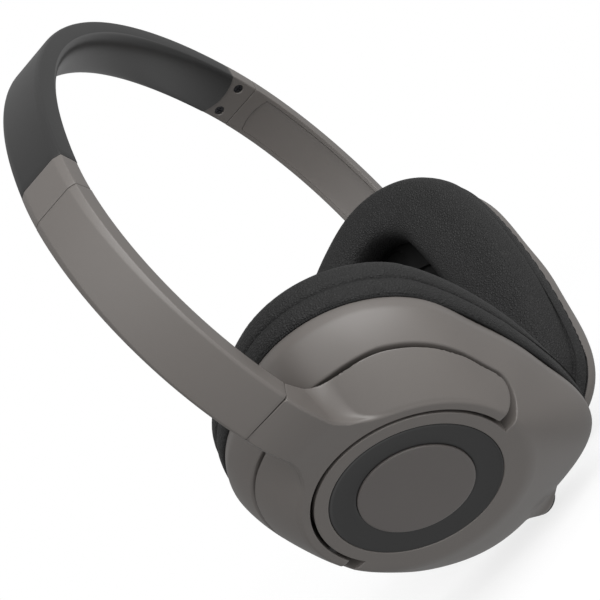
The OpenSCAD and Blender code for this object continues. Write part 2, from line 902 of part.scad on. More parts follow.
// Layer of the cushion, drawn in all round and further at its lower end.
module cushion_layer(inset, share)
    for (l = lobes)
        translate([l[0], l[1], clip_w - share * cushion_h - slice])
            cylinder(r = l[2] - inset - (l[1] < -20 ? cushion_low_in * min(share / 0.7, 1) : 0), h = slice, $fn = 40);

module cushion(side)
    color([0.13, 0.13, 0.13])
        cup_frame(side)
            difference() {
                hull() {
                    cushion_layer(1.3, 0);
                    cushion_layer(0.5, 0.16);
                    cushion_layer(0.3, 0.4);
                    cushion_layer(0.3, 0.7);
                    cushion_layer(1.2, 0.86);
                    cushion_layer(3.2, 0.95);
                    cushion_layer(7, 1);
                }
                hull() {
                    ear_hole(3, front_w - 0.5, slice);
                    ear_hole(1, front_w + 1.2, slice);
                }
                hull() {
                    ear_hole(1, front_w + 1.2 - slice, slice);
                    ear_hole(0, front_w + 3.4, slice);
                }
                hull() {
                    ear_hole(0, front_w + 3.4 - slice, slice);
                    ear_hole(1.5, clip_w + 1, slice);
                }
            }

// ---------- jack ----------

module jack_socket()
    color(steel)
        cup_frame(1)
            jack_axis()
                translate([0, 0, 0.6])
                    difference() {
                        cylinder(r = socket_r, h = jack_bore_len + 2.4, $fn = 64);
                        translate([0, 0, -1])
                            cylinder(r = jack_bore_r, h = jack_bore_len + 1, $fn = 48);
                    }

module jack_collar()
    color(black)
        cup_frame(1)
            jack_axis()
                translate([0, 0, -0.5])
                    difference() {
                        cylinder(r = mouth_r - fit, h = 0.5, $fn = 64);
                        translate([0, 0, -1])
                            cylinder(r = jack_bore_r + 0.7, h = 3, $fn = 48);
                    }

// ---------- build ----------

headband_shell();
headband_pad();
spring_strip();
crossover_wire();
tongue(1);  // left_tongue
tongue(-1);  // right_tongue
end_cap(1);  // left_end_cap
end_cap(-1);  // right_end_cap
cap_screws(1);  // left_cap_screws
cap_screws(-1);  // right_cap_screws
arm_shell(1);  // left_arm_shell
arm_shell(-1);  // right_arm_shell
arm_cover(1);  // left_arm_cover
arm_cover(-1);  // right_arm_cover
detent_spring(1);  // left_detent_spring
detent_spring(-1);  // right_detent_spring
arm_wire(1);  // left_arm_wire
arm_wire(-1);  // right_arm_wire
swivel_pin(1);  // left_swivel_pin
swivel_pin(-1);  // right_swivel_pin
yoke(1);  // left_yoke
yoke(-1);  // right_yoke
tilt_pins(1);  // left_tilt_pins
tilt_pins(-1);  // right_tilt_pins
cup_shell(1);  // left_cup_shell
cup_shell(-1);  // right_cup_shell
accent_ring(1);  // left_accent_ring
accent_ring(-1);  // right_accent_ring
badge_cap(1);  // left_badge_cap
badge_cap(-1);  // right_badge_cap
baffle(1);  // left_baffle
baffle(-1);  // right_baffle
driver_basket(1);  // left_driver_basket
driver_basket(-1);  // right_driver_basket
driver_magnet(1);  // left_driver_magnet
driver_magnet(-1);  // right_driver_magnet
voice_coil(1);  // left_voice_coil
voice_coil(-1);  // right_voice_coil
diaphragm(1);  // left_diaphragm
diaphragm(-1);  // right_diaphragm
driver_grille(1);  // left_driver_grille
driver_grille(-1);  // right_driver_grille
cushion_ring(1);  // left_cushion_ring
cushion_ring(-1);  // right_cushion_ring
cushion(1);  // left_cushion
cushion(-1);  // right_cushion
cup_screws(1);  // left_cup_screws
cup_screws(-1);  // right_cup_screws
driver_wires(1);  // left_driver_wires
driver_wires(-1);  // right_driver_wires
jack_socket();
jack_collar();
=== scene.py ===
import math
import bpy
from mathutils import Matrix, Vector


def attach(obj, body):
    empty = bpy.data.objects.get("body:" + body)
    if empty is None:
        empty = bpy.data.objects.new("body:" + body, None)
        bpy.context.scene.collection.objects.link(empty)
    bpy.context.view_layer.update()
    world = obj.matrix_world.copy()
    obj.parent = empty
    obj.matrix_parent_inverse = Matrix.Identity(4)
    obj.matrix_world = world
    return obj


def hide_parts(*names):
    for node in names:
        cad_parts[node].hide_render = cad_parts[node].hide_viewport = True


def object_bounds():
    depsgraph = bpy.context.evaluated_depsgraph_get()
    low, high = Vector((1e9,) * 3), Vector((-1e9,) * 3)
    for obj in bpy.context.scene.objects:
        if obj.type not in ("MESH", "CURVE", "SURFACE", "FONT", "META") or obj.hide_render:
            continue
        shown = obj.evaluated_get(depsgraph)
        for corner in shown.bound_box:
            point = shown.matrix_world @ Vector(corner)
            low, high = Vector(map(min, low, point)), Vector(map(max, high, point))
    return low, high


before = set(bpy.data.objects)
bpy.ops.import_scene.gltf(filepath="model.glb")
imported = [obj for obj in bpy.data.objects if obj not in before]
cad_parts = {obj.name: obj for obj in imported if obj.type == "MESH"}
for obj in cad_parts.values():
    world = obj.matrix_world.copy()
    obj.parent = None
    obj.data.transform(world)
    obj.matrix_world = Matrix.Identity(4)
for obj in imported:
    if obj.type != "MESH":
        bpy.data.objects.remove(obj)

from types import SimpleNamespace

import bpy
import numpy as np
from mathutils import Matrix, Vector

CAD_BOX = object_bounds()

bl_info = {
    "name": "Over-ear headset",
    "version": (1, 0, 0),
    "blender": (4, 5, 0),
    "location": "3D View > Sidebar > Headset",
    "description": "Dresses a closed over-ear headset: moulded shells, sewn cushions and stage",
    "category": "Object",
}

# All shapes are worked out in millimetres in the frame of the part:
# Z = 0 is the underside of the head pad, +X is the wearer's left, -Y the front.
# Inside a cup, u runs to the back, v up the cup and w out of its face.
# The D outline of a cup is the common outline of round lobes: u, v, radius.
LOBES = np.array([
    [5.0, 14.1, 29.8],
    [-6.4, 8.4, 30.2],
    [-6.2, -4.0, 30.9],
    [1.6, -7.7, 33.8],
    [12.6, -31.2, 20.2],
    [-7.2, -31.0, 23.4],
])
EAR = np.array([[1.0, 17.0, 12.5], [1.0, -24.0, 12.0]])


def length(mm, name, text):
    """A size in the sidebar: kept in metres, given here in millimetres."""
    return bpy.props.FloatProperty(
        name=name, description=text, default=mm / 1000, precision=5, unit="LENGTH")


def tint(rgb, name, text):
    """A colour in the sidebar, given as screen values from 0 to 255."""
    linear = [c / 255 / 12.92 if c <= 10 else ((c / 255 + 0.055) / 1.055) ** 2.4 for c in rgb]
    return bpy.props.FloatVectorProperty(
        name=name, description=text, default=(*linear, 1.0), size=4, min=0, max=1, subtype="COLOR")


class HeadsetSizes(bpy.types.PropertyGroup):
    """Sizes of the dressed pieces"""
    crown_r: length(115.9, "Crown radius", "Radius of the crown's outer face")
    side_r: length(61.9, "Side radius", "Radius of the side arcs that the arms follow")
    band_w: length(14.2, "Band width", "Width of the band across the head")
    band_t: length(5.8, "Band depth", "Depth of the band's side walls")
    crown_t: length(7.0, "Crown depth", "Depth of the crown at its padded middle")
    crown_wall_t: length(4.4, "Crown wall", "Depth of the crown's side walls")
    side_t: length(1.3, "Side wall", "Thickness of the band's side walls")
    bevel_low: length(0.7, "Bevel at the cup", "Width of the arm's edge bevel near the cup")
    bevel_high: length(2.0, "Bevel at the crown", "Width of the edge bevel beside the crown")
    neck_reach: length(48.4, "Neck reach", "Way up the cup from the face's centre to the arm's end")
    neck_rise: length(-0.3, "Neck rise", "Height of the arm's end above the face")
    rim_depth: length(20.5, "Rim depth", "Depth of the rim behind the face")
    land_r: length(27.7, "Land radius", "Radius of the flat land around the face disc")
    shell_t: length(2.2, "Shell wall", "Wall of the cup shell")
    disc_r: length(24.5, "Disc radius", "Radius of the face disc")
    disc_gap: length(0.9, "Disc gap", "Gap between the face disc and the yoke")
    accent_r: length(21.0, "Dark ring radius", "Outer radius of the dark ring")
    badge_r: length(14.2, "Badge radius", "Radius of the bare badge")
    pocket_t: length(1.2, "Pocket depth", "Depth of the pocket for ring and badge")
    yoke_depth: length(9.4, "Yoke depth", "Depth behind the face at which the yoke ends")
    groove_w: length(0.8, "Groove width", "Groove between yoke and shell")
    flare_r: length(9.0, "Flare radius", "Fillets where the neck's face widens")
    cove_r: length(4.6, "Cove radius", "Hollows beside the neck")
    cushion_h: length(14.2, "Cushion height", "Height of the cushion above its clip plate")
    cushion_low_in: length(2.0, "Cushion draw-in", "Draw-in of the cushion's lower end towards the head")
    jack_u: length(3.2, "Jack offset", "Distance of the jack behind the middle of the cup")
    jack_boss_r: length(4.8, "Jack boss radius", "Radius of the boss round the jack")


class HeadsetColours(bpy.types.PropertyGroup):
    """Colours of the finishes"""
    shell: tint((86, 82, 79), "Shell", "Moulded shells of arms, yokes and cups")
    crown: tint((31, 31, 31), "Crown", "Moulded crown")
    pad: tint((33, 33, 33), "Head pad", "Soft inner side of the crown")
    leather: tint((26, 26, 26), "Cushion", "Leatherette of the ear cushions")
    accent: tint((14, 14, 14), "Dark ring", "Satin ring round the badge")
    badge: tint((75, 71, 69), "Badge", "Bare badge in the face's middle")
    inner: tint((15, 15, 15), "Inner plastic", "Baffle and clip plate inside the ear opening")
    steel: tint((172, 173, 176), "Steel", "Tongues and pins")
    dark_metal: tint((70, 70, 73), "Dark metal", "Small screws")
    floor: tint((244, 244, 245), "Floor", "Pale floor")


def measures():
    """Sizes in millimetres, with what follows from them."""
    group = bpy.context.scene.headset_sizes
    m = SimpleNamespace(**{key: getattr(group, key) * 1000 for key in HeadsetSizes.__annotations__})
    # Ends of shell, cap and arm along their arcs, lean of the cups and swivel of the left one.
    m.shell_end, m.cap_end, m.arm_end, m.lean, m.left_turn = 41.54, 51.4, 115.5, 39.8, 3.6
    # Tilt pins beside the face disc, with the round tips of the yoke about them.
    m.tilt_v, m.tilt_w, m.tip_r = 1.6, -3.2, 4.8
    m.jack_w = -15.2
    m.pad_bow, m.cover_bow = 0.95, 1.3
    mouth_run, block_run, plate = 6, 6.6, 1.3

    m.crown_cz = m.crown_t - m.crown_r
    m.side_cx = (m.crown_r - m.side_r) * math.sin(math.radians(m.shell_end))
    m.side_cz = m.crown_cz + (m.crown_r - m.side_r) * math.cos(math.radians(m.shell_end))
    end, lean = math.radians(m.arm_end), math.radians(m.lean)
    x, z = m.side_cx + m.side_r * math.sin(end), m.side_cz + m.side_r * math.cos(end)
    m.cup_x = x - m.neck_reach * math.sin(lean) - m.neck_rise * math.cos(lean)
    m.cup_z = z - m.neck_reach * math.cos(lean) + m.neck_rise * math.sin(lean)
    r = m.side_r - m.band_t / 2
    m.pin = np.array([m.side_cx + r * math.sin(end), 0, m.side_cz + r * math.cos(end)])
    m.pin_way = Vector((math.cos(end), 0, -math.sin(end)))
    m.deg = 180 / (math.pi * m.side_r)
    m.mouth_end = m.cap_end + mouth_run * m.deg
    m.block = m.arm_end - block_run * m.deg
    m.bore_r = m.disc_r + m.disc_gap
    m.clip_w = -m.rim_depth - plate
    m.inner = m.band_w / 2 - m.side_t
    return m


# ---------- shader maths ----------

class Level:
    """A shader value. Python operators on it add Math nodes."""

    def __init__(self, finish, socket):
        self.finish, self.socket = finish, socket

    def maths(self, operation, first, second):
        step = self.finish.node("ShaderNodeMath", {"operation": operation}, {0: first, 1: second})
        return Level(self.finish, step.outputs[0])

    def __add__(self, other):
        return self.maths("ADD", self, other)

    def __radd__(self, other):
        return self.maths("ADD", other, self)

    def __sub__(self, other):
        return self.maths("SUBTRACT", self, other)

    def __rsub__(self, other):
        return self.maths("SUBTRACT", other, self)

    def __mul__(self, other):
        return self.maths("MULTIPLY", self, other)

    def __rmul__(self, other):
        return self.maths("MULTIPLY", other, self)

    def least(self, other):
        return self.maths("MINIMUM", self, other)


class Nodes:
    """A node tree under construction, with one way to add a node."""

    def __init__(self, tree):
        self.tree = tree
        tree.nodes.clear()

    def node(self, kind, settings=None, sockets=None):
        made = self.tree.nodes.new(kind)
        for key, value in (settings or {}).items():
            setattr(made, key, value)
        self.feed(made, sockets or {})
        return made

    def feed(self, node, sockets):
        """Sets or links the sockets of a node, given by name or number."""
        for key, value in sockets.items():
            if isinstance(value, Level):
                value = value.socket
            if isinstance(value, bpy.types.NodeSocket):
                self.tree.links.new(value, node.inputs[key])
            else:
                node.inputs[key].default_value = value


class Finish(Nodes):
    """A material under construction, about one principled shader."""

    def __init__(self, name):
        self.material = bpy.data.materials.new(name)
        self.material.use_nodes = True
        super().__init__(self.material.node_tree)
        self.shader = self.node("ShaderNodeBsdfPrincipled")
        self.output = self.node("ShaderNodeOutputMaterial", {}, {"Surface": self.shader.outputs[0]})
        self.place = self.node("ShaderNodeTexCoord").outputs["Object"]

    def noise(self, scale, detail=3.0, rough=0.55, stretch=None):
        place = self.place
        if stretch:
            place = self.node("ShaderNodeVectorMath", {"operation": "MULTIPLY"},
                              {0: place, 1: stretch}).outputs[0]
        made = self.node("ShaderNodeTexNoise", {"noise_dimensions": "3D"},
                         {"Vector": place, "Scale": scale, "Detail": detail, "Roughness": rough})
        return Level(self, made.outputs["Fac"])

    def cells(self, scale):
        """Distance to the edges of irregular cells."""
        made = self.node("ShaderNodeTexVoronoi", {"feature": "DISTANCE_TO_EDGE"},
                         {"Vector": self.place, "Scale": scale})
        return Level(self, made.outputs["Distance"])

    def blend(self, amount, first, second):
        made = self.node("ShaderNodeMix", {"data_type": "RGBA"}, {0: amount, 6: first, 7: second})
        return made.outputs[2]

    def bump(self, height, strength, distance):
        made = self.node("ShaderNodeBump", {},
                         {"Height": height, "Strength": strength, "Distance": distance})
        return made.outputs["Normal"]

    def done(self, **sockets):
        """Sets or links the shader's own sockets, given by name."""
        self.feed(self.shader, {key.replace("_", " "): value for key, value in sockets.items()})
        return self.material


def shade(colour, factor):
    return (*[min(1.0, c * factor) for c in colour[:3]], 1.0)


def colour_of(key):
    return tuple(getattr(bpy.context.scene.headset_colours, key))


def moulded(name, colour, rough, grain=0.00003, gloss=0.5):
    """Moulded plastic: fine eroded texture, faint flow marks and uneven sheen."""
    f, vary = Finish(name), 0.06
    broad, mid, fine = f.noise(38.0, 3.0), f.noise(420.0, 2.0), f.noise(3600.0, 2.0)
    mix = f.blend(broad * 0.75 + mid * 0.25, shade(colour, 1 - vary), shade(colour, 1 + vary))
    return f.done(
        Base_Color=mix, Roughness=rough - 0.04 + broad * 0.05 + fine * 0.04,
        Normal=f.bump(fine + mid * 0.3, 0.35, grain), Specular_IOR_Level=gloss)


def leatherette(name, colour):
    """Thin leatherette: pebbled grain between creases, with painted shade in the grooves between pebbles
    and painted light on their tops.
    """
    f, pebble, rough = Finish(name), 1300.0, 0.5
    edge, small = f.cells(pebble), f.cells(pebble * 1.9)
    broad, fine = f.noise(60.0, 4.0), f.noise(5200.0, 2.0)
    pebbles = (edge * 3.0).least(1.0) * 0.7 + (small * 3.0).least(1.0) * 0.3
    creases = f.noise(170.0, 5.0, 0.62)
    # Colour: painted shade in the grooves between pebbles and painted light on the pebble tops, mixed
    # with tone that varies at random.
    mix = f.blend(pebbles * 0.7 + broad * 0.3, shade(colour, 0.62), shade(colour, 1.34))
    height = pebbles + creases * 2.4 + fine * 0.12
    return f.done(
        Base_Color=mix, Roughness=rough + 0.1 - pebbles * 0.1 + broad * 0.06,
        Normal=f.bump(height, 0.95, 0.00024), Specular_IOR_Level=0.26)


def satin_ring(name, colour):
    """Satin lacquer with a very fine random grain, for the ring round the badge."""
    f = Finish(name)
    broad, fine = f.noise(90.0, 2.0), f.noise(2600.0, 2.0)
    mix = f.blend(broad, shade(colour, 0.9), shade(colour, 1.12))
    return f.done(Base_Color=mix, Roughness=0.33 + broad * 0.04 + fine * 0.03,
                  Normal=f.bump(fine, 0.2, 0.00001), Specular_IOR_Level=0.5)


def metal(name, colour, rough, drawn=(1.0, 1.0, 1.0)):
    """Bare metal with drawn or rolled marks and dulled spots."""
    f = Finish(name)
    marks, spots = f.noise(900.0, 4.0, 0.6, drawn), f.noise(260.0, 3.0)
    mix = f.blend(spots, shade(colour, 0.82), shade(colour, 1.08))
    return f.done(Base_Color=mix, Metallic=1.0, Roughness=rough - 0.06 + marks * 0.14 + spots * 0.06,
                  Normal=f.bump(marks, 0.25, 0.00002))


FINISHES = {}


def finish(key):
    """One of the headset's finishes, made once."""
    if key in FINISHES:
        return FINISHES[key]
    make = {
        "shell": lambda: moulded("shell_plastic", colour_of("shell"), 0.43),
        "badge": lambda: moulded("badge_plastic", colour_of("badge"), 0.38, 0.00002),
        "crown": lambda: moulded("crown_plastic", colour_of("crown"), 0.44, 0.00004, 0.3),
        "inner": lambda: moulded("inner_plastic", colour_of("inner"), 0.6, 0.00005, 0.2),
        "pad": lambda: moulded("head_pad_skin", colour_of("pad"), 0.34, 0.00003, 0.6),
        "leather": lambda: leatherette("cushion_leatherette", colour_of("leather")),
        "accent": lambda: satin_ring("satin_ring", colour_of("accent")),
        "steel": lambda: metal("spring_steel", colour_of("steel"), 0.3, (1.0, 0.12, 1.0)),
        "screw": lambda: metal("screw_metal", colour_of("dark_metal"), 0.34),
        "thread": lambda: moulded("seam_thread", shade(colour_of("leather"), 0.75), 0.7, 0.00006, 0.2),
        "copper": lambda: metal("copper_wire", (0.55, 0.27, 0.13, 1.0), 0.35),
        "film": lambda: moulded("driver_film", (0.06, 0.06, 0.058, 1.0), 0.3, 0.00001),
        "insulation": lambda: moulded("wire_sleeve", (0.12, 0.012, 0.012, 1.0), 0.45, 0.00001),
    }
    FINISHES[key] = make[key]()
    return FINISHES[key]


# ---------- meshes ----------

def placed(name, data):
    """A new object in the scene."""
    made = bpy.data.objects.new(name, data)
    bpy.context.scene.collection.objects.link(made)
    return made


def mesh_of(name, points, faces):
    """A mesh from points in millimetres."""
    mesh = bpy.data.meshes.new(name)
    mesh.from_pydata((points * 0.001).tolist(), [], [tuple(int(i) for i in f) for f in faces])
    return mesh


def piece(name, points, faces, body, look, slot, stands_for=(), smooth=35.0, normals=None):
    """A mesh piece, riding on a body of the frame."""
    mesh = mesh_of(name, points, faces)
    mesh.validate()
    mesh.materials.append(finish(look))
    mesh.shade_smooth()
    if normals is not None and len(normals) == len(mesh.vertices):
        mesh.normals_split_custom_set_from_vertices(np.asarray(normals).tolist())
    elif smooth:
        mesh.set_sharp_from_angle(angle=math.radians(smooth))
    made = placed(name, mesh)
    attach(made, body)
    if stands_for:
        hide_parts(*stands_for)
    return made


def turned_round(faces):
    return [tuple(reversed(f)) for f in faces]


def on_side(points, faces, side):
    """A form of the left side, mirrored for the right one with its faces still turned outwards."""
    return (points, faces) if side > 0 else (points * [-1, 1, 1], turned_round(faces))


def grid_faces(rows, cols, wrap_rows=False, wrap_cols=False):
    """Quads over points laid out row by row."""
    r = np.arange(rows if wrap_rows else rows - 1)
    c = np.arange(cols if wrap_cols else cols - 1)
    r, c = [a.ravel() for a in np.meshgrid(r, c, indexing="ij")]
    r1, c1 = (r + 1) % rows, (c + 1) % cols
    quads = np.stack([r * cols + c, r1 * cols + c, r1 * cols + c1, r * cols + c1], 1)
    return [tuple(q) for q in quads.tolist()]


def rounded(corners, radius, steps=3):
    """Closed outline whose corners are rounded off; radius is one for all or one each."""
    corners = [np.array(p, float) for p in corners]
    radius = radius if isinstance(radius, (list, tuple)) else [radius] * len(corners)
    out = []
    for i, p in enumerate(corners):
        before, after = corners[i - 1] - p, corners[(i + 1) % len(corners)] - p
        lb, la = np.linalg.norm(before), np.linalg.norm(after)
        if radius[i] <= 0 or lb < 1e-6 or la < 1e-6:
            out += [p] * (steps + 1)
            continue
        r = min(radius[i], lb * 0.45, la * 0.45)
        for k in range(steps + 1):
            t = k / steps
            out.append(p + before / lb * r * (1 - t) ** 2 + after / la * r * t ** 2)
    return np.array(out)


def band_points(centre, radius, angles, sections):
    """Points of a band swept along an arc; a section is depth and width from the outer face.
    An angle is one for the section or one for each of its points."""
    rows = []
    for angle, section in zip(angles, sections):
        a = np.radians(np.broadcast_to(angle, len(section)))
        r = radius - section[:, 0]
        rows.append(np.stack([centre[0] + r * np.sin(a), section[:, 1], centre[1] + r * np.cos(a)], 1))
    return np.concatenate(rows)


def swept(centre, radius, angles, sections, start=True, closed=True):
    """Band along an arc, with an end face at its last station and, with start, at its first."""
    n = len(sections[0])
    last = (len(sections) - 1) * n
    faces = grid_faces(len(sections), n, wrap_cols=closed)
    if start:
        faces.append(tuple(range(n)))
    faces.append(tuple(reversed(range(last, last + n))))
    return band_points(centre, radius, angles, sections), faces


def drawn_in(section, by, depth):
    """Section made smaller all round by the same amount, for softened ends."""
    mid = depth / 2
    half = np.abs(section[:, 1]).max()
    out = section.copy()
    out[:, 0] = mid + (section[:, 0] - mid) * (1 - by / mid)
    out[:, 1] = section[:, 1] * (1 - by / half)
    return out


def softened(angles, sections, radius, depth, soft=0.22):
    """Adds small rounded ends to a row of stations."""
    step = math.degrees(1 / radius)
    lead = [(0.0, soft), (soft * 0.15, soft * 0.45), (soft * 0.5, soft * 0.12)]
    rows = []
    for end, sign in ((0, 1), (-1, -1)):
        a = [angles[end] + sign * s * step for s, _ in lead] + [angles[end] + sign * soft * step]
        s = [drawn_in(sections[end], b, depth) for _, b in lead] + [sections[end]]
        rows.append((a[::sign], s[::sign]))
    (first, start), (last, stop) = rows
    return first + list(angles[1:-1]) + last, start + list(sections[1:-1]) + stop


def circle(count):
    """Angles all round."""
    return np.linspace(0, 2 * math.pi, count, endpoint=False)


def ways(a):
    """Unit vectors in the directions a."""
    return np.stack([np.cos(a), np.sin(a)], 1)


def disc_points(radii, turns, heights):
    """Points of rings, laid out turn by turn."""
    a = circle(turns)
    return np.stack([np.outer(np.cos(a), radii), np.outer(np.sin(a), radii),
                     np.broadcast_to(heights, (turns, len(radii)))], 2).reshape(-1, 3)


def lathe(profile, turns=192):
    """Turned form about w; the profile runs from radius to height."""
    radii, heights = np.array(profile, float).T
    points = disc_points(radii, turns, heights)
    return points, grid_faces(turns, len(profile), wrap_rows=True)


def cup_axes(p, side, m, origin=(0, 0, 0), about=(0, 0, 0)):
    """From the cup's axes to the part's axes; swivels the left side, mirrors the right one."""
    s, c = math.sin(math.radians(m.lean)), math.cos(math.radians(m.lean))
    u, v, w = np.asarray(p, float).T
    points = np.stack([origin[0] + v * s + w * c, u, origin[2] + v * c - w * s], 1)
    if side < 0:
        return points * [-1, 1, 1]
    turn = np.array(Matrix.Rotation(math.radians(m.left_turn), 3, m.pin_way))
    return (points - about) @ turn.T + about


def on_cup(points, side, m):
    """From the cup's frame to the part's frame, in millimetres."""
    return cup_axes(points, side, m, (m.cup_x, 0, m.cup_z), m.pin)


# ---------- forms given by a signed distance ----------

def soft_max(a, b, k):
    h = np.maximum(k - np.abs(a - b), 0) / k
    return np.maximum(a, b) + h * h * k / 4


def fillet_min(a, b, r):
    """Union whose inner corner has a round fillet."""
    return np.maximum(r, np.minimum(a, b)) - np.hypot(np.maximum(r - a, 0), np.maximum(r - b, 0))


def smooth_step(x, a, b):
    t = np.clip((x - a) / (b - a), 0, 1)
    return t * t * (3 - 2 * t)


class Dome:
    """Rounded back of a cup: its outline grows from the round land to the D-shaped rim.
    The outline is kept as a short Fourier series, which also evens out the lobes."""
    waves, terms, power = 12, 5, 1.64

    def __init__(self, m):
        self.depth = m.rim_depth
        a = circle(360)
        n = ways(a)
        turn = np.cos(a[:, None] - a[None, :])
        facing, nowhere = 0.2, 1e9
        shares, rows = np.linspace(0, 1, 12), []
        for f in shares:
            h = (f * (LOBES[:, :2] @ n.T) + f * LOBES[:, 2:3] + (1 - f) * m.land_r).max(0)
            rows.append(np.where(turn > facing, h[None, :] / np.maximum(turn, facing), nowhere).min(1))
        series = np.linalg.lstsq(self.basis(a), np.array(rows).T, rcond=None)[0]
        powers = shares[:, None] ** np.arange(self.terms)[None, :]
        self.coef = np.linalg.lstsq(powers, series.T, rcond=None)[0]

    def basis(self, a):
        angle = a[:, None] * np.arange(1, self.waves + 1)[None, :]
        return np.concatenate([np.ones((len(a), 1)), np.cos(angle), np.sin(angle)], 1)

    def full(self, w):
        """Share of the way from the land to the rim at a height w."""
        return 1 - np.clip(1 + w / self.depth, 0, 1) ** self.power

    def radius(self, a, *shares):
        """Radii of the outline in the directions a, one set for each share of the way to the rim."""
        series = self.basis(a) @ self.coef.T
        k = np.arange(self.terms)[None, :]
        return [(series * np.broadcast_to(f, a.shape)[:, None] ** k).sum(1) for f in shares]

    def away(self, u, v, w):
        """Rough distance outside the dome's flank."""
        dip, w = 0.4, np.minimum(w, 0)
        r, lower = self.radius(np.arctan2(v, u), self.full(w), self.full(w - dip))
        slope = (lower - r) / dip
        return (np.hypot(u, v) - r) / np.sqrt(1 + slope * slope)


def slope_of(form, p, h=0.02):
    out = np.empty_like(p)
    for axis in range(3):
        d = np.zeros(3)
        d[axis] = h
        out[:, axis] = (form(p + d) - form(p - d)) / (2 * h)
    return out


def skin(form, grid, wrap=False):
    """Skin of a form over a bent grid of points: one point for each cell that the surface
    crosses, moved onto the surface. Returns points, quads and normals."""
    relaxing, keep, longest = 2, 0.6, 0.35
    n = grid.shape[:3]
    value = np.stack([form(grid[:, :, k].reshape(-1, 3)).reshape(n[:2]) for k in range(n[2])], 2)
    cells = np.array([n[0] if wrap else n[0] - 1, n[1] - 1, n[2] - 1])
    ids, spots, quads = [], [], []
    for axis in range(3):
        other, there = np.roll(value, -1, axis), np.roll(grid, -1, axis)
        cross = (value < 0) != (other < 0)
        if not (axis == 0 and wrap):
            last = [slice(None)] * 3
            last[axis] = -1
            cross[tuple(last)] = False
        e = np.argwhere(cross)
        at = tuple(e.T)
        t = (value[at] / (value[at] - other[at]))[:, None]
        spot = grid[at] * (1 - t) + there[at] * t
        one, two = (axis + 1) % 3, (axis + 2) % 3
        four, ok = [], np.ones(len(e), bool)
        for d1, d2 in ((1, 1), (0, 1), (0, 0), (1, 0)):
            c = e.copy()
            c[:, one] -= d1
            c[:, two] -= d2
            if wrap:
                c[:, 0] %= n[0]
            good = ((c >= 0) & (c < cells)).all(1)
            number = (c[:, 0] * cells[1] + c[:, 1]) * cells[2] + c[:, 2]
            ids.append(number[good])
            spots.append(spot[good])
            four.append(number)
            ok &= good
        quads.append(np.stack(four, 1)[ok])
    ids, spots, quads = np.concatenate(ids), np.concatenate(spots), np.concatenate(quads)
    used, ids = np.unique(ids, return_inverse=True)
    count = np.bincount(ids, minlength=len(used))
    p = np.stack([np.bincount(ids, spots[:, a], len(used)) / count for a in range(3)], 1)
    quads = np.searchsorted(used, quads)
    edges = np.concatenate([quads[:, [0, 1]], quads[:, [1, 2]], quads[:, [2, 3]], quads[:, [3, 0]]])
    edges = np.concatenate([edges, edges[:, ::-1]])
    near = np.bincount(edges[:, 0], minlength=len(p))
    for turn in range(3 + 2 * relaxing):
        g = slope_of(form, p)
        move = -(form(p) / ((g ** 2).sum(1) + 1e-6))[:, None] * g
        far = np.linalg.norm(move, axis=1, keepdims=True)
        p = p + move * np.minimum(1, longest / np.maximum(far, 1e-9))
        if turn % 2 == 1 and turn < 2 * relaxing:
            mean = np.stack([np.bincount(edges[:, 0], p[edges[:, 1], a], len(p)) for a in range(3)], 1)
            p = p * keep + mean / np.maximum(near, 1)[:, None] * (1 - keep)
    g = slope_of(form, p)
    g /= np.linalg.norm(g, axis=1, keepdims=True) + 1e-9
    a, b = p[quads[:, 2]] - p[quads[:, 0]], p[quads[:, 3]] - p[quads[:, 1]]
    flip = (np.cross(a, b) * g[quads].sum(1)).sum(1) < 0
    quads[flip] = quads[flip][:, ::-1]
    return p, quads, g


def steps(*stops):
    """Stations through given points: value, then the number of steps to the next one."""
    out = []
    for i in range(0, len(stops) - 2, 2):
        out += list(np.linspace(stops[i], stops[i + 2], int(stops[i + 1]), endpoint=False))
    return np.array(out + [stops[-1]])


def hermite(x, p1, t1, p2, t2):
    """Smooth curve between two points with given tangents, for x from 0 to 1."""
    return ((2 * x ** 3 - 3 * x ** 2 + 1) * p1 + (x ** 3 - 2 * x ** 2 + x) * t1
            + (-2 * x ** 3 + 3 * x ** 2) * p2 + (x ** 3 - x ** 2) * t2)


def smooth_curve(*knots, n=60):
    """Points of a smooth curve through knots, for even shading."""
    k = np.array(knots, float)
    t = np.concatenate([[0], np.cumsum(np.hypot(*np.diff(k, axis=0).T))])
    d = np.gradient(k, t, axis=0)
    s = np.linspace(0, t[-1], n)
    i = np.clip(np.searchsorted(t, s, "right") - 1, 0, len(t) - 2)
    h = (t[i + 1] - t[i])[:, None]
    return hermite((s - t[i])[:, None] / h, k[i], h * d[i], k[i + 1], h * d[i + 1])


# Side view of the neck's face and underside: way up the cup, height.
NECK_TOP = smooth_curve([0, 0], [20, 0], [26, 0], [31, 0.45], [36, 0.98], [41, 0.95], [44.9, 0.5],
                        [48.4, -0.3], [52, -1.3])
NECK_LOW = smooth_curve([-12, -8], [1.6, -8], [14, -8.7], [27, -9.4], [31, -9.4], [36, -8.5],
                        [41, -7.15], [46.97, -5.9], [52, -4.8])


def recess_side(v, w, m):
    """Side view of the hollow that the yoke lies in: round about the tilt pin, widening upwards."""
    widening, full_turn, round_end = 1.7, 96, 108
    edge_w, edge_v = [-0.8, 10], [-5.8, -7.4]
    dv, dw = v - m.tilt_v, w - m.tilt_w
    turn = np.degrees(np.arctan2(-dv, -dw))
    r = m.tip_r + m.groove_w + widening * (np.clip(turn, 0, round_end) / full_turn) ** 2
    edge = np.interp(w, edge_w, edge_v)
    floor = np.maximum(np.interp(v, *NECK_LOW.T) - m.groove_w, -m.yoke_depth - m.groove_w)
    below = np.where(turn < round_end, np.hypot(dv, dw) - r, edge - v)
    return np.where(v < m.tilt_v, below, floor - w)


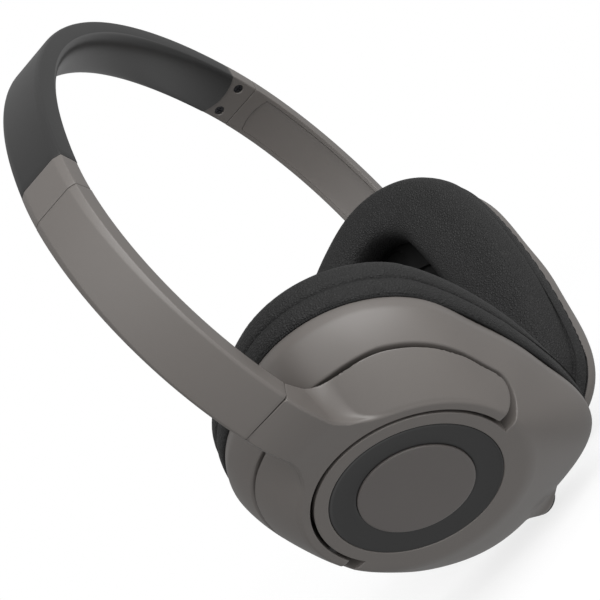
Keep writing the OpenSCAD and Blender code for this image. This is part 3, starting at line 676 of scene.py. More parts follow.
def cup_form(m, dome, jack):
    """Cup shell: dome with the yoke's recess, badge pocket, shallow inside and jack boss."""
    boss_low, boss_high, boss_round, boss_fillet = -50.1, -36, 2.4, 1.6
    mouth_v, mouth_wall, crisp, soft_face = -49.7, 0.8, 0.3, 0.9
    chamfer_top, chamfer_slope, chamfer_scale, chamfer_reach = 2.9, 3.8, 3.929, -15.0
    rim_past, hollow_w, play = 0.9, -12.6, 0.05
    boss_top_round, chamfer_round, rim_round = 0.4, 0.16, 0.25

    def form(p):
        u, v, w = p[:, 0], p[:, 1], p[:, 2]
        rho = np.hypot(u, v)
        flank = dome.away(u, v, w)
        if jack:
            bore = np.hypot(u - m.jack_u, w - m.jack_w) - m.jack_boss_r
            boss = soft_max(soft_max(bore, boss_low - v, boss_round), v - boss_high, boss_top_round)
            flank = fillet_min(flank, boss, boss_fillet)
        out = soft_max(flank, w, soft_face)
        wall = dome.away(u, v, np.minimum(w, chamfer_reach))
        chamfer = wall * chamfer_slope - (w + m.rim_depth - chamfer_top)
        out = soft_max(out, chamfer / chamfer_scale, chamfer_round)
        out = soft_max(out, -m.rim_depth - rim_past - w, rim_round)
        recess = np.maximum(recess_side(v, w, m), m.disc_r - rho)
        out = soft_max(out, -recess, crisp)
        out = soft_max(out, -np.maximum(rho - m.accent_r - play, -m.pocket_t - w), crisp)
        out = np.maximum(out, -np.maximum(flank + m.shell_t, w - hollow_w))
        if jack:
            out = soft_max(out, -np.maximum(bore + mouth_wall, v - mouth_v), crisp)
        return out
    return form


def bent_grid(across, up, w):
    """Grid of points: u and v for the first two indices, w for the third."""
    grid = np.empty((*across.shape, len(w), 3))
    grid[..., 0], grid[..., 1], grid[..., 2] = across[..., None], up[..., None], w
    return grid


# Stations of the bent grids, as steps() reads them: closer where an edge lies.
CUP_TURN = (-90, 34, -40, 16, -24, 66, 4, 14, 14, 72, 90, 72, 166, 14, 176, 66, 204, 16, 220, 34, 270)
JACK_TURN = (-107, 66, -66, 30, -24, 66, 4, 14, 14, 72, 90, 72, 166, 14, 176, 66, 204, 16, 220, 24, 253)
CUP_RADII = (20.6, 2, 20.95, 3, 21.3, 2, 22, 3, 24, 8, 25, 4, 27, 5, 29)
CUP_HEIGHTS = (-21.9, 7, -20.6, 6, -18.4, 7, -16.6, 7, -12.9, 4, -11.2, 10, -9.7, 12, -2.2, 6, -0.8,
               9, 0.28)
YOKE_TURN = (-106, 64, -75, 34, -45, 24, -22, 16, -16.9, 7, -15.6, 22, 15.6, 7, 16.9, 16, 22, 24, 45,
             34, 75, 64, 106)


def cup_grid(dome, jack):
    """Rings of stations from the badge to just outside the rim."""
    a = np.radians(steps(*(JACK_TURN if jack else CUP_TURN))[:-1])
    near, far = steps(*CUP_RADII), np.linspace(0, 1, 30)[1:]
    past = 1.6
    reach = dome.radius(a, 1.0)[0][:, None] + past
    rho = np.concatenate([np.broadcast_to(near, (len(a), len(near))),
                          near[-1] + (reach - near[-1]) * far], 1)
    return bent_grid(rho * np.cos(a)[:, None], rho * np.sin(a)[:, None], steps(*CUP_HEIGHTS))


def yoke_form(m, dome):
    """Yoke: ring section of the dome, joined to the arm by a flared neck with hollow flanks."""
    tilt = math.radians(m.arm_end - 90 - m.lean)
    way = np.array([-math.cos(tilt), -math.sin(tilt)])
    gap, nowhere, edge_round, tip_slope = 0.1, 30.0, 0.5, 0.5
    cove_start, cove_full, neck_start, neck_full = 27.5, 36, 26.5, 31
    face_round, neck_sharper, neck_bevel, root = 0.9, 0.6, 0.5, 1.414
    low_round, bore_round, end_round, tip_round = 0.35, 0.28, 0.12, 0.5
    end = np.array([m.neck_reach, m.neck_rise]) + gap * way

    def form(p):
        u, v, w = p[:, 0], p[:, 1], p[:, 2]
        rho = np.hypot(u, v)
        top, low = np.interp(v, *NECK_TOP.T), np.interp(v, *NECK_LOW.T)
        side = np.where(v > 0, np.abs(u) - m.band_w / 2, nowhere)
        plan = fillet_min(side, np.where(v > 0, rho - m.land_r, nowhere), m.flare_r)
        hollow = edge_round + (m.cove_r - edge_round) * smooth_step(v, cove_start, cove_full)
        body = fillet_min(plan, dome.away(u, v, w), hollow)
        neck = smooth_step(v, neck_start, neck_full)
        bevel = (body + (w - top) + neck_bevel * neck + 0.02) / root
        out = np.maximum(soft_max(body, w - top, face_round - neck_sharper * neck), bevel)
        out = soft_max(out, low - w, low_round)
        out = soft_max(out, m.bore_r - rho, bore_round)
        out = soft_max(out, (end[0] - v) * way[0] + (end[1] - w) * way[1], end_round)
        past = np.maximum(v - m.tilt_v, 0)
        tip = np.hypot(np.minimum(v - m.tilt_v, 0), w - m.tilt_w) - m.tip_r - tip_slope * past
        return soft_max(out, tip, tip_round)
    return form


def yoke_grid(m):
    """Grid that fans out round the ring and runs straight up the neck."""
    neck, lowest, high_run = 17.5, 15.0, 1.2
    a = steps(*YOKE_TURN)
    away = np.abs(a)
    base, lean = np.radians(a), np.radians(np.sign(a) * away * smooth_step(away, neck, 62))
    longest = (m.neck_reach + high_run - m.bore_r * np.cos(base[away < neck])).max()
    reach = lowest + (longest - lowest) * (1 - smooth_step(away, neck, 58))
    near, far = steps(-0.35, 8, 0.5, 6, 2.4), np.linspace(0, 1, 46)[1:]
    along = np.concatenate([np.broadcast_to(near, (len(a), len(near))),
                            near[-1] + (reach[:, None] - near[-1]) * far], 1)
    across = m.bore_r * np.sin(base)[:, None] + along * np.sin(lean)[:, None]
    up = m.bore_r * np.cos(base)[:, None] + along * np.cos(lean)[:, None]
    return bent_grid(across, up, steps(-10.0, 9, -8.9, 13, -1.6, 6, -0.6, 20, 1.5))


# ---------- operators ----------

SIDES = (("left", 1), ("right", -1))


def arc(start, stop, step):
    return list(np.linspace(start, stop, max(2, int(abs(stop - start) / step) + 1)))


def section_of(half, radii, floor=()):
    """Rounded section from the corners of one half, from the outer face inwards. Sharp points of
    a floor may lie between the halves."""
    other = [[x, -y] for x, y in half[::-1]]
    return rounded([other[-1], *half, *floor, *other[:-1]],
                   [radii[0], *radii, *[0.0] * len(floor), *radii[:0:-1]])


class HEADSET_OT_crown(bpy.types.Operator):
    """Moulded crown shell and the soft pad under it"""
    bl_idname = "headset.crown"
    bl_label = "Crown and head pad"

    def execute(self, context):
        m = measures()
        centre, half, inner, wall = (0, m.crown_cz), m.band_w / 2, m.inner, m.crown_wall_t
        roof, gap, sunk, thinner, bow_run = 1.5, 0.04, 0.9, 0.6, 10

        def to_ends(angle, start=8):
            return float(smooth_step(abs(angle), start, m.shell_end))

        def wall_at(angle):
            return wall + (m.band_t - 0.05 - wall) * to_ends(angle)

        def shell(angle):
            ends = (abs(angle) / m.shell_end) ** 2
            bevel, low, deep = 0.75 + 1.25 * ends, 0.42 + 0.44 * ends, wall_at(angle)
            corners = [[0, half - bevel], [low, half], [deep, half], [deep, inner], [roof, inner]]
            return section_of(corners, [0.5, 0.5, 0.1, 0.1, 0.2])
        angles = arc(-m.shell_end, m.shell_end, 1.2)
        angles, sections = softened(angles, [shell(a) for a in angles], m.crown_r, wall)
        piece("crown_shell", *swept(centre, m.crown_r, angles, sections), "headband", "crown",
              "black_plastic", ["headband_shell"])

        turn = np.radians(np.linspace(0, 180, 31))
        rows, bowed = [], []
        for angle in arc(-m.shell_end + gap, m.shell_end - gap, 0.8):
            deep = wall_at(angle) - gap
            bulge = m.crown_t - thinner * to_ends(angle) - deep
            shape = np.stack([deep + bulge * np.sin(turn) ** 0.9, (half - 0.02) * np.cos(turn)], 1)
            row = np.concatenate([[[deep - sunk, inner - 0.1]], shape, [[deep - sunk, -inner + 0.1]]])
            past = m.pad_bow * math.copysign(to_ends(angle, m.shell_end - bow_run), angle)
            rows.append(row)
            bowed.append(angle + past * (1 - (row[:, 1] / half) ** 2) * (row[:, 0] > m.band_t - 0.3))
        points, faces = swept(centre, m.crown_r, bowed, rows, closed=False)
        pad = piece("head_pad", points, turned_round(faces), "headband", "pad", "soft_pad",
                    ["headband_pad"], smooth=60)
        return {"FINISHED"}


def outside(angle, m):
    """Corners of one half of the band's outside, with an edge bevel that narrows to the cup."""
    bevel = float(np.interp(angle, [m.shell_end, 60, 78, 95], [m.bevel_high, 1.75, 1.2, m.bevel_low]))
    half = m.band_w / 2
    return [[0, half - bevel], [0.3 + 0.28 * bevel, half], [m.band_t, half]]


def cut_holes(made, points, faces, inward):
    """Sinks round holes into a finished piece, from its inner side."""
    tool = placed("hole", mesh_of("hole", points, faces))
    step = made.modifiers.new("hole", "BOOLEAN")
    step.operation, step.object, step.solver = "DIFFERENCE", tool, "EXACT"
    bpy.context.view_layer.update()
    result = bpy.data.meshes.new_from_object(made.evaluated_get(bpy.context.evaluated_depsgraph_get()))
    made.modifiers.clear()
    made.data = result
    bpy.data.objects.remove(tool)
    made.data.shade_smooth()
    made.data.set_sharp_from_angle(angle=math.radians(32))
    for face in made.data.polygons:
        if face.normal.dot(inward) > 0.9:
            face.use_smooth = False


class HEADSET_OT_caps(bpy.types.Operator):
    """End caps between crown and arms, with two sunk screws each"""
    bl_idname = "headset.caps"
    bl_label = "End caps"

    def execute(self, context):
        m = measures()
        gap, screw_y = 0.05, 4.3
        angles = arc(m.shell_end + gap, m.cap_end - gap, 0.9)
        sections = [section_of(outside(a, m), [0.3, 0.4, 0.5]) for a in angles]
        angles, sections = softened(angles, sections, m.side_r, m.band_t)
        points, faces = swept((m.side_cx, m.side_cz), m.side_r, angles, sections)

        at = math.radians((m.shell_end + m.cap_end) / 2)
        out = np.array([math.sin(at), 0, math.cos(at)])
        along = np.array([math.cos(at), 0, -math.sin(at)])
        turn = circle(40)
        ring = np.outer(np.cos(turn), along) + np.outer(np.sin(turn), [0, 1, 0])
        profile = (1.62, -1.0), (1.62, -0.02), (1.45, 0.16), (1.45, 1.15)
        n, rows = len(turn), len(profile)
        shape = grid_faces(rows, n, wrap_cols=True)
        shape += [tuple(range(n))[::-1], tuple(range((rows - 1) * n, rows * n))]
        hole_points, hole_faces = [], []
        for k, y in enumerate((-screw_y, screw_y)):
            mid = np.array([m.side_cx, y, m.side_cz]) + out * (m.side_r - m.band_t)
            hole_points += [mid + out * d + r * ring for r, d in profile]
            hole_faces += [tuple(i + rows * n * k for i in face) for face in shape]
        hole_points = np.concatenate(hole_points)
        for name, side in SIDES:
            made = piece(f"{name}_cap", *on_side(points, faces, side), "headband", "shell",
                         "taupe_plastic", [f"{name}_end_cap"])
            cut_holes(made, *on_side(hole_points, hole_faces, side), Vector(out * [-side, 1, -1]))
        return {"FINISHED"}


class HEADSET_OT_arms(bpy.types.Operator):
    """Sliding arms with their inset inner covers"""
    bl_idname = "headset.arms"
    bl_label = "Arms and covers"

    def execute(self, context):
        m = measures()
        depth, inner, centre = m.band_t, m.inner, (m.side_cx, m.side_cz)
        flush, recess, gap, edge = 0.001, 1.1, 0.1, 0.02

        def section(angle, sink):
            floor = [[depth - sink, y] for y in np.linspace(inner, -inner, 13)]
            return section_of([*outside(angle, m), [depth, inner]], [0.25, 0.3, 0.35, 0.16], floor)

        def bow(angle, section):
            """Moves the floor of the recess, so that its start is an arc."""
            near = float(smooth_step(abs(angle - m.mouth_end), 9, 2))
            floor = (section[:, 0] > depth - 1.2) & (np.abs(section[:, 1]) < inner - edge)
            return angle - m.cover_bow * near * (1 - (section[:, 1] / inner) ** 2) * floor
        start, stop = m.cap_end + gap, m.arm_end - gap * m.deg
        angles, sections = [], []
        for first, last, sink in ((start, m.mouth_end, flush), (m.mouth_end + edge, m.block, recess),
                                  (m.block + edge, stop, flush)):
            part = arc(first, last, 1.0)
            angles += part
            sections += [section(a, sink) for a in part]
        angles, sections = softened(angles, sections, m.side_r, depth, 0.12)
        bowed = [bow(a, s) if a > start + 1 else a for a, s in zip(angles, sections)]
        points, faces = swept(centre, m.side_r, bowed, sections, start=False)
        lip = self.slot(inner, sections[0])
        base, n = len(points), len(lip)
        slot_end = angles[0] + 7 * m.deg
        mouth = band_points(centre, m.side_r, [angles[0], slot_end], [lip, lip])
        points = np.concatenate([points, mouth])
        for i in range(n):
            j = (i + 1) % n
            faces.append((i, j, base + j, base + i))
            faces.append((base + i, base + j, base + n + j, base + n + i))
        faces.append(tuple(base + n + i for i in range(n)))
        cover_points, cover_faces = self.cover(m, bow)
        for name, side in SIDES:
            body = f"{name}_arm"
            piece(f"{name}_arm", *on_side(points, faces, side), body, "shell", "taupe_plastic",
                  [f"{name}_arm_shell"], smooth=30)
            piece(f"{name}_inner_cover", *on_side(cover_points, cover_faces, side), body, "shell",
                  "taupe_plastic", [f"{name}_arm_cover"], smooth=40)
        return {"FINISHED"}

    def slot(self, inner, outer):
        """Mouth for the tongue, with a point for each point of the section round it."""
        high, low = 1.3, 4.5
        lip = rounded([[high, -inner], [high, inner], [low, inner], [low, -inner]], 0.25, 9)
        lip = np.roll(lip, len(lip) // 8, axis=0)[np.arange(len(outer)) * len(lip) // len(outer)]
        order, ranks = [np.argsort(np.arctan2(q[:, 1], (high + low) / 2 - q[:, 0]))
                        for q in (lip, outer)]
        return lip[order][np.argsort(ranks)]

    def cover(self, m, bow):
        """Cover in the recess, a little domed across."""
        gap, lead, dome, sunk, side_gap = 0.12, 0.15, 0.32, 0.9, 0.07

        def section(draw):
            y = np.linspace(-m.inner + side_gap + draw, m.inner - side_gap - draw, 17)
            top = np.stack([m.band_t - 0.06 - dome * (1 - (y / m.inner) ** 4) - draw, y], 1)
            low = m.band_t - sunk
            return np.concatenate([top, [[low, m.inner - side_gap]], [[low, -m.inner + side_gap]]])
        full, end = section(0.0), section(lead)
        bands = [bow(angle, full) for angle in arc(m.mouth_end + gap, m.block - gap, 1.0)]
        sections = [end] + [full] * len(bands) + [end]
        bands = [bands[0], bands[0] + gap, *bands[1:-1], bands[-1] - gap, bands[-1]]
        points, faces = swept((m.side_cx, m.side_cz), m.side_r, bands, sections)
        return points, turned_round(faces)


def on_cup_side(points, faces, side, m):
    """A form in the cup's frame on one side, with its faces turned outwards."""
    return on_cup(points, side, m), faces if side > 0 else turned_round(faces)


def skinned(name, node, body, side, m, made):
    """A moulded piece of the cup or yoke from its skin."""
    p, f, g = made
    piece(name, on_cup(p, side, m), f if side > 0 else f[:, ::-1], body, "shell", "taupe_plastic",
          [node], normals=cup_axes(g, side, m))


class HEADSET_OT_yokes(bpy.types.Operator):
    """Yokes: flared neck, hollow flanks and the ring that carries the cup"""
    bl_idname = "headset.yokes"
    bl_label = "Yokes"

    def execute(self, context):
        m = measures()
        made = skin(yoke_form(m, Dome(m)), yoke_grid(m))
        for name, side in SIDES:
            skinned(f"{name}_fork_ring", f"{name}_yoke", f"{name}_fork", side, m, made)
        return {"FINISHED"}


class HEADSET_OT_cups(bpy.types.Operator):
    """Cup shells with face disc, yoke recess, rim chamfer and, on the left, the jack boss"""
    bl_idname = "headset.cups"
    bl_label = "Cup shells"

    def execute(self, context):
        m = measures()
        dome = Dome(m)
        for name, side in SIDES:
            jack = side > 0
            made = skin(cup_form(m, dome, jack), cup_grid(dome, jack), wrap=True)
            skinned(f"{name}_shell", f"{name}_cup_shell", f"{name}_cup", side, m, made)
        return {"FINISHED"}


class HEADSET_OT_badges(bpy.types.Operator):
    """Dished dark rings and bare badges"""
    bl_idname = "headset.badges"
    bl_label = "Rings and badges"

    def execute(self, context):
        m = measures()
        low, dish, rise = -1.2, -0.52, 0.34
        inside, outside_r, badge_r = m.badge_r + 0.05, m.accent_r, m.badge_r
        ring = [[inside, low], [inside, -0.62]]
        ring += [[r, dish + rise * ((r - badge_r) / (outside_r - badge_r)) ** 1.6]
                 for r in np.linspace(badge_r + 0.3, outside_r - 0.5, 12)]
        ring += [[outside_r - 0.22, -0.13], [outside_r - 0.08, -0.17], [outside_r, -0.3],
                 [outside_r, low]]
        badge = [[badge_r, low], [badge_r, -0.32], [badge_r - 0.03, -0.2], [badge_r - 0.12, -0.12],
                 [badge_r - 0.3, -0.08]]
        badge += [[r, -0.07] for r in (badge_r - 0.7, 12, 9, 6, 3, 0.8, 0.05)]
        ring_points, ring_faces = lathe(ring[::-1])
        badge_points, badge_faces = lathe(badge)
        middle = tuple(range(len(badge) - 1, len(badge_points), len(badge)))
        badge_faces = turned_round(badge_faces) + [middle]
        for name, side in SIDES:
            for title, points, faces, look, slot, node in (
                    ("dark_ring", ring_points, ring_faces, "accent", "dark_accent", "accent_ring"),
                    ("badge", badge_points, badge_faces, "badge", "taupe_plastic", "badge_cap")):
                piece(f"{name}_{title}", *on_cup_side(points, faces, side, m), f"{name}_cup", look, slot,
                      [f"{name}_{node}"], smooth=40)
        return {"FINISHED"}


def outline_at(lobes, a, waves=16):
    """Points of a rounded outline whose edge faces the directions a."""
    samples = 720
    h = (lobes[:, :2] @ ways(circle(samples)).T + lobes[:, 2:3]).max(0)
    k = np.arange(waves + 1)
    fade = np.exp(-(k / (waves * 0.8)) ** 4 * 0.5)
    c = (np.fft.rfft(h) / samples)[:waves + 1] * np.where(k == 0, 1, 2) * fade
    e = np.exp(1j * np.outer(a, k))
    reach, change = (e * c).real.sum(1), (e * (1j * k) * c).real.sum(1)
    return reach[:, None] * ways(a) + change[:, None] * np.stack([-np.sin(a), np.cos(a)], 1)


def smooth_rows(rows, spacing=0.7, most=9):
    """Smooth curves through rows of points, in steps as even as the rows allow."""
    fine, last = [], len(rows) - 1
    for i in range(last):
        p = rows[max(i - 1, 0)], rows[i], rows[i + 1], rows[min(i + 2, last)]
        d = [(np.linalg.norm(q - r, axis=1, keepdims=True) ** 0.5 + 1e-6) ** 2 for q, r in zip(p[1:], p)]
        slope = [(q - r) / part for q, r, part in zip(p[1:], p, d)]
        if i == 0:
            slope[0] = slope[1]
        if i == last - 1:
            slope[2] = slope[1]
        t1 = (slope[0] * d[1] + slope[1] * d[0]) / (d[0] + d[1]) * d[1]
        t2 = (slope[1] * d[2] + slope[2] * d[1]) / (d[1] + d[2]) * d[1]
        span = float(np.linalg.norm(p[2] - p[1], axis=1).mean())
        count = int(np.clip(span / spacing, 1, most))
        fine += [hermite(s, p[1], t1, p[2], t2) for s in np.arange(count) / count]
    return np.array(fine + [rows[-1]])


# Section of a cushion: draw-in from the outer outline, share towards the ear opening,
# growth of the opening, height above the clip plate as a share.
SEAM_SHARE = 0.388
CUSHION = (
    (2.4, 0, 0, 0.00), (1.0, 0, 0, 0.004), (0.5, 0, 0, 0.035), (0.2, 0, 0, 0.11), (0.08, 0, 0, 0.22),
    (0.14, 0, 0, 0.32), (0.34, 0, 0, 0.368), (1.0, 0, 0, SEAM_SHARE), (0.34, 0, 0, 0.408),
    (0.12, 0, 0, 0.46),
    (0.06, 0, 0, 0.55), (0.22, 0, 0, 0.66), (0.75, 0, 0, 0.78), (1.9, 0, 0, 0.88), (3.8, 0, 0, 0.952),
    (6.0, 0, 0, 0.985), (7.0, 0.2, 3.2, 0.997), (7.0, 0.5, 3.2, 1.0), (7.0, 0.8, 3.2, 0.994),
    (0, 1, 2.9, 0.972), (0, 1, 1.5, 0.935), (0, 1, 0.6, 0.87), (0, 1, 0.2, 0.78), (0, 1, 0.1, 0.55),
    (0, 1, 0.6, 0.3), (0, 1, 1.6, 0.12), (0, 1, 2.6, 0.0))


class HEADSET_OT_cushions(bpy.types.Operator):
    """Ear cushions: sewn leatherette over foam, with side seam and stitched edge"""
    bl_idname = "headset.cushions"
    bl_label = "Ear cushions"

    def execute(self, context):
        m = measures()
        turns = 420
        a = circle(turns)
        grid = self.wrinkled(smooth_rows(self.rows(m, a)), m, a)
        last = (len(grid) - 1) * turns
        faces = grid_faces(len(grid), turns, wrap_cols=True)
        faces += [(last + i, last + (i + 1) % turns, (i + 1) % turns, i) for i in range(turns)]
        points, faces = grid.reshape(-1, 3), turned_round(faces)
        thread = self.stitching(m)
        for name, side in SIDES:
            body = f"{name}_cup"
            made = piece(f"{name}_ear_cushion", *on_cup_side(points, faces, side, m), body, "leather",
                         "leatherette", [f"{name}_cushion"], smooth=0)
            piece(f"{name}_cushion_stitching", *on_cup_side(*thread, side, m), body, "thread",
                  "leatherette", smooth=0)
        return {"FINISHED"}

    def rows(self, m, a):
        """Rows of points round the cushion, one for each station of its section."""
        lower_end, fully_in = -20, 0.7
        outer, hole = outline_at(LOBES, a), outline_at(EAR, a)
        lower = outline_at(LOBES - np.outer(LOBES[:, 1] < lower_end, [0, 0, m.cushion_low_in]), a)
        n, rows = ways(a), []
        for draw, share, grow, height in CUSHION:
            low = min(height / fully_in, 1) if share < 1 else 1
            edge = outer * (1 - low) + lower * low - n * draw
            flat = edge * (1 - share) + (hole + n * grow) * share
            level = np.full((len(a), 1), m.clip_w - m.cushion_h * height)
            rows.append(np.concatenate([flat, level], 1))
        return np.array(rows)

    def wrinkled(self, grid, m, a):
        """Small wrinkles on the outer side, slow waves all round and puckers along the seam."""
        wrinkles, puckers, pucker, press, overhang = 150, 96, 0.03, 0.5, 0.1
        seam_at, seam_wide, outer_part, soft_from = 0.385, 0.05, 0.45, 0.02
        rng = np.random.default_rng(7)
        across = np.linspace(0, 1, len(grid))[:, None]
        lift = np.zeros(grid.shape[:2])
        for _ in range(wrinkles):
            at, wide, size, mid, spread, skew = (rng.uniform(*ends) for ends in (
                (0, 2 * math.pi), (0.008, 0.022), (-0.1, 0.05), (0.06, 0.4), (0.03, 0.09), (-0.4, 0.4)))
            turn = (a - at - skew * (across - mid) + math.pi) % (2 * math.pi) - math.pi
            lift += size * np.exp(-(turn / wide) ** 2) * np.exp(-((across - mid) / spread) ** 2)
        for wave in range(3, 14):
            amount, phase, drift = 0.11 / wave, rng.uniform(0, 6.28), rng.uniform(-3, 3)
            lift += amount * np.sin(wave * a + phase + drift * across) * press
        height = (grid[..., 2].mean(1)[:, None] - m.clip_w) / -m.cushion_h
        seam = np.exp(-((height - seam_at) / seam_wide) ** 2) * (across < outer_part)
        lift += seam * pucker * np.sin(a * puckers)
        lift *= np.clip((height - soft_from) * 6, 0, 1)
        normal = np.cross(np.roll(grid, -1, 1) - np.roll(grid, 1, 1), np.gradient(grid, axis=0))
        normal /= np.linalg.norm(normal, axis=2, keepdims=True) + 1e-9
        if ((grid - grid.mean((0, 1))) * normal).sum() < 0:
            normal = -normal
        grid = grid + normal * lift[..., None]
        grid[..., 2] = np.maximum(grid[..., 2], m.clip_w - m.cushion_h - overhang)
        return grid

    def stitching(self, m):
        """Row of small stitches between shell and cushion, and the thread of the side seam."""
        t, ring = circle(2400), circle(6)
        line, n = outline_at(LOBES, t), ways(t)
        bumps = np.abs(np.sin(t * 150)) ** 0.8
        thread = 0.14 + 0.03 * bumps
        points, faces = [], []
        # Draw-in from the outline, height, half width and half depth of each thread.
        for draw, at, wide, tall in ((0.95, m.clip_w + 0.2, 0.26 + 0.24 * bumps, 0.26 + 0.1 * bumps),
                                     (0.62, m.clip_w - m.cushion_h * SEAM_SHARE, thread, thread)):
            pts = np.empty((len(t), len(ring), 3))
            for i, r in enumerate(ring):
                pts[:, i, :2] = line - n * draw + n * (wide * math.cos(r))[:, None]
                pts[:, i, 2] = at + tall * math.sin(r)
            faces += [tuple(i + len(points) * len(t) * len(ring) for i in f)
                      for f in grid_faces(len(t), len(ring), True, True)]
            points.append(pts.reshape(-1, 3))
        return np.concatenate(points), faces


class HEADSET_OT_inner_parts(bpy.types.Operator):
    """Finishes of the small and inner parts that keep their frame shape"""
    bl_idname = "headset.inner_parts"
    bl_label = "Small and inner parts"

    def execute(self, context):
        looks = {
            "steel": ("tongue", "detent_spring", "swivel_pin", "tilt_pins", "driver_magnet",
                      "spring_strip", "jack_socket"),
            "screw": ("cap_screws", "cup_screws"),
            "insulation": ("arm_wire", "driver_wires", "crossover_wire"),
            "inner": ("baffle", "driver_basket", "driver_grille", "cushion_ring"),
            "copper": ("voice_coil",), "film": ("diaphragm",), "crown": ("jack_collar",),
        }
        look_of = {part: look for look, parts in looks.items() for part in parts}
        for name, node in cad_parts.items():
            look = look_of.get(name.removeprefix("left_").removeprefix("right_"))
            if look is None:
                continue
            if not node.material_slots:
                node.data.materials.append(None)
            for place in node.material_slots:
                place.material = finish(look)
        return {"FINISHED"}


# The camera: its axes, its place in metres, and focal length as a share of the picture's width.
VIEW_RIGHT = Vector((-0.20543221, 0.64827554, -0.73316876))
VIEW_UP = Vector((-0.23366022, 0.69499285, 0.67999106))
VIEW_BACK = Vector((0.95036862, 0.31100444, 0.00870229))
VIEW_EYE = Vector((0.50538911, 0.16033838, -0.07926430))
FOCAL_SHARE = 2071.48 / 600


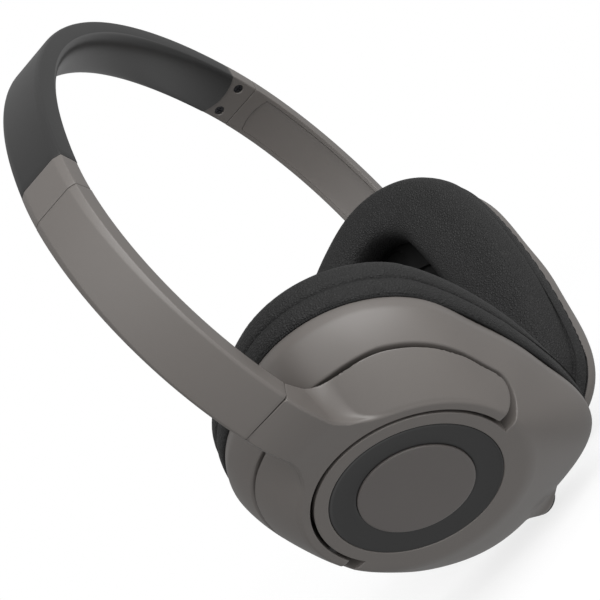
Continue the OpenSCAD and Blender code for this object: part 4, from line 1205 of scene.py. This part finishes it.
class HEADSET_OT_stage(bpy.types.Operator):
    """Pale floor, soft studio light and camera"""
    bl_idname = "headset.stage"
    bl_label = "Stage"

    def execute(self, context):
        scene = context.scene
        floor = self.floor()

        world = bpy.data.worlds.new("studio")
        scene.world = world
        world.use_nodes = True
        back, right, up = VIEW_BACK, VIEW_RIGHT, VIEW_UP
        self.studio_walls(world.node_tree, (up * 0.5 - right * 0.15 + back * 0.8).normalized())
        aim = Vector((0, 0, -0.08))
        for name, place, wide, tall, watts in (
                ("key_panel", back * 0.8 + right * 0.05 + up * 0.85, 1.3, 1.0, 17.0),
                ("side_panel", back * 0.8 - right * 0.7 + up * 0.1, 0.9, 0.9, 2.6),
                ("rim_panel", right * 0.7 - up * 0.75 - back * 0.45, 0.8, 0.8, 1.0),
                ("low_panel", back * 0.5 + right * 0.3 - up * 0.8, 1.2, 0.9, 1.1)):
            lamp = bpy.data.lights.new(name, "AREA")
            lamp.shape, lamp.size, lamp.size_y, lamp.energy = "RECTANGLE", wide, tall, watts
            made = placed(name, lamp)
            made.location = aim + place
            made.rotation_mode = "QUATERNION"
            made.rotation_quaternion = (-place).to_track_quat("-Z", "Y")

        camera = bpy.data.cameras.new("camera")
        camera.sensor_width, camera.lens = 36.0, 36.0 * FOCAL_SHARE
        camera.clip_start, camera.clip_end = 0.01, 50
        made = placed("camera", camera)
        turned = Matrix((right, up, back)).transposed().to_4x4()
        made.matrix_world = Matrix.Translation(VIEW_EYE) @ turned
        scene.camera = made
        scene.view_settings.view_transform = "Standard"
        return {"FINISHED"}

    def floor(self):
        """Round sheet of pale paper just under the lowest point, whose outer part glows."""
        smallest, largest, gap, turns = 50, 4000, 0.6, 96
        glow_from, glow_full, glow_near, glow_more = 0.16, 0.55, 0.78, 0.22
        rings = np.concatenate([[0.0], np.geomspace(smallest, largest, 40)])
        points = disc_points(rings, turns, CAD_BOX[0].z * 1000 - gap)
        mesh = mesh_of("floor", points, grid_faces(turns, len(rings), wrap_rows=True))
        mesh.shade_smooth()
        floor = placed("floor", mesh)
        f = Finish("floor_paper")
        split = f.node("ShaderNodeSeparateXYZ", {}, {0: f.place}).outputs
        x, y = Level(f, split["X"]), Level(f, split["Y"])
        away = f.node("ShaderNodeMath", {"operation": "SQRT"}, {0: x * x + y * y})
        grain = f.noise(900.0, 3.0)
        far = f.node("ShaderNodeMapRange", {"interpolation_type": "SMOOTHSTEP"},
                     {"Value": away.outputs[0], "From Min": glow_from, "From Max": glow_full})
        base = colour_of("floor")
        mix = f.blend(grain, shade(base, 0.985), shade(base, 1.0))
        f.done(Base_Color=mix, Roughness=0.85, Normal=f.bump(grain, 0.1, 0.0001))
        glow = f.node("ShaderNodeEmission", {}, {"Color": (1, 1, 1, 1), "Strength": 1.0})
        share = Level(f, far.outputs["Result"]) * glow_more + glow_near
        both = f.node("ShaderNodeMixShader", {}, {0: share, 1: f.shader.outputs[0], 2: glow.outputs[0]})
        f.feed(f.output, {"Surface": both.outputs[0]})
        mesh.materials.append(f.material)
        floor.visible_diffuse = floor.visible_glossy = False
        return floor

    def studio_walls(self, tree, way):
        """White behind the object, and soft light that is strongest from one way."""
        w = Nodes(tree)
        place, path = w.node("ShaderNodeTexCoord").outputs, w.node("ShaderNodeLightPath").outputs
        shares = []
        # A direction, and the range of its cosine with what it becomes.
        for direction, ends in ((way, (-1.0, 1.0, 0.3, 0.95)), (-VIEW_BACK, (0.1, 0.9, 0.0, 0.22))):
            dot = w.node("ShaderNodeVectorMath", {"operation": "DOT_PRODUCT"},
                         {0: place["Generated"], 1: direction})
            reach = w.node("ShaderNodeMapRange", {"interpolation_type": "SMOOTHSTEP"},
                           dict(zip(("From Min", "From Max", "To Min", "To Max"), ends)))
            w.feed(reach, {"Value": dot.outputs["Value"]})
            shares.append(reach.outputs["Result"])
        seen = w.node("ShaderNodeMath", {"operation": "MULTIPLY_ADD", "use_clamp": True},
                      {0: path["Is Glossy Ray"], 1: shares[1], 2: path["Is Camera Ray"]})
        soft = w.node("ShaderNodeBackground", {}, {"Color": shares[0]})
        white = w.node("ShaderNodeBackground", {}, {"Color": (1, 1, 1, 1)})
        both = w.node("ShaderNodeMixShader", {},
                      {0: seen.outputs[0], 1: soft.outputs[0], 2: white.outputs[0]})
        w.node("ShaderNodeOutputWorld", {}, {"Surface": both.outputs[0]})


OPERATORS = (HEADSET_OT_crown, HEADSET_OT_caps, HEADSET_OT_arms, HEADSET_OT_yokes, HEADSET_OT_cups,
             HEADSET_OT_badges, HEADSET_OT_cushions, HEADSET_OT_inner_parts, HEADSET_OT_stage)


class HEADSET_PT_panel(bpy.types.Panel):
    """Sizes, colours and pieces of the headset"""
    bl_idname = "HEADSET_PT_panel"
    bl_label = "Headset"
    bl_space_type = "VIEW_3D"
    bl_region_type = "UI"
    bl_category = "Headset"

    def draw(self, context):
        for group, keys in ((context.scene.headset_sizes, HeadsetSizes.__annotations__),
                            (context.scene.headset_colours, HeadsetColours.__annotations__)):
            box = self.layout.box()
            for key in keys:
                box.prop(group, key)
        for operator in OPERATORS:
            self.layout.operator(operator.bl_idname)


CLASSES = (HeadsetSizes, HeadsetColours, *OPERATORS, HEADSET_PT_panel)


def register():
    for item in CLASSES:
        bpy.utils.register_class(item)
    bpy.types.Scene.headset_sizes = bpy.props.PointerProperty(type=HeadsetSizes)
    bpy.types.Scene.headset_colours = bpy.props.PointerProperty(type=HeadsetColours)


def unregister():
    del bpy.types.Scene.headset_colours
    del bpy.types.Scene.headset_sizes
    for item in reversed(CLASSES):
        bpy.utils.unregister_class(item)


def main():
    register()
    for operator in OPERATORS:
        group, name = operator.bl_idname.split(".")
        getattr(getattr(bpy.ops, group), name)()
    bpy.context.view_layer.update()


if __name__ == "__main__":
    main()
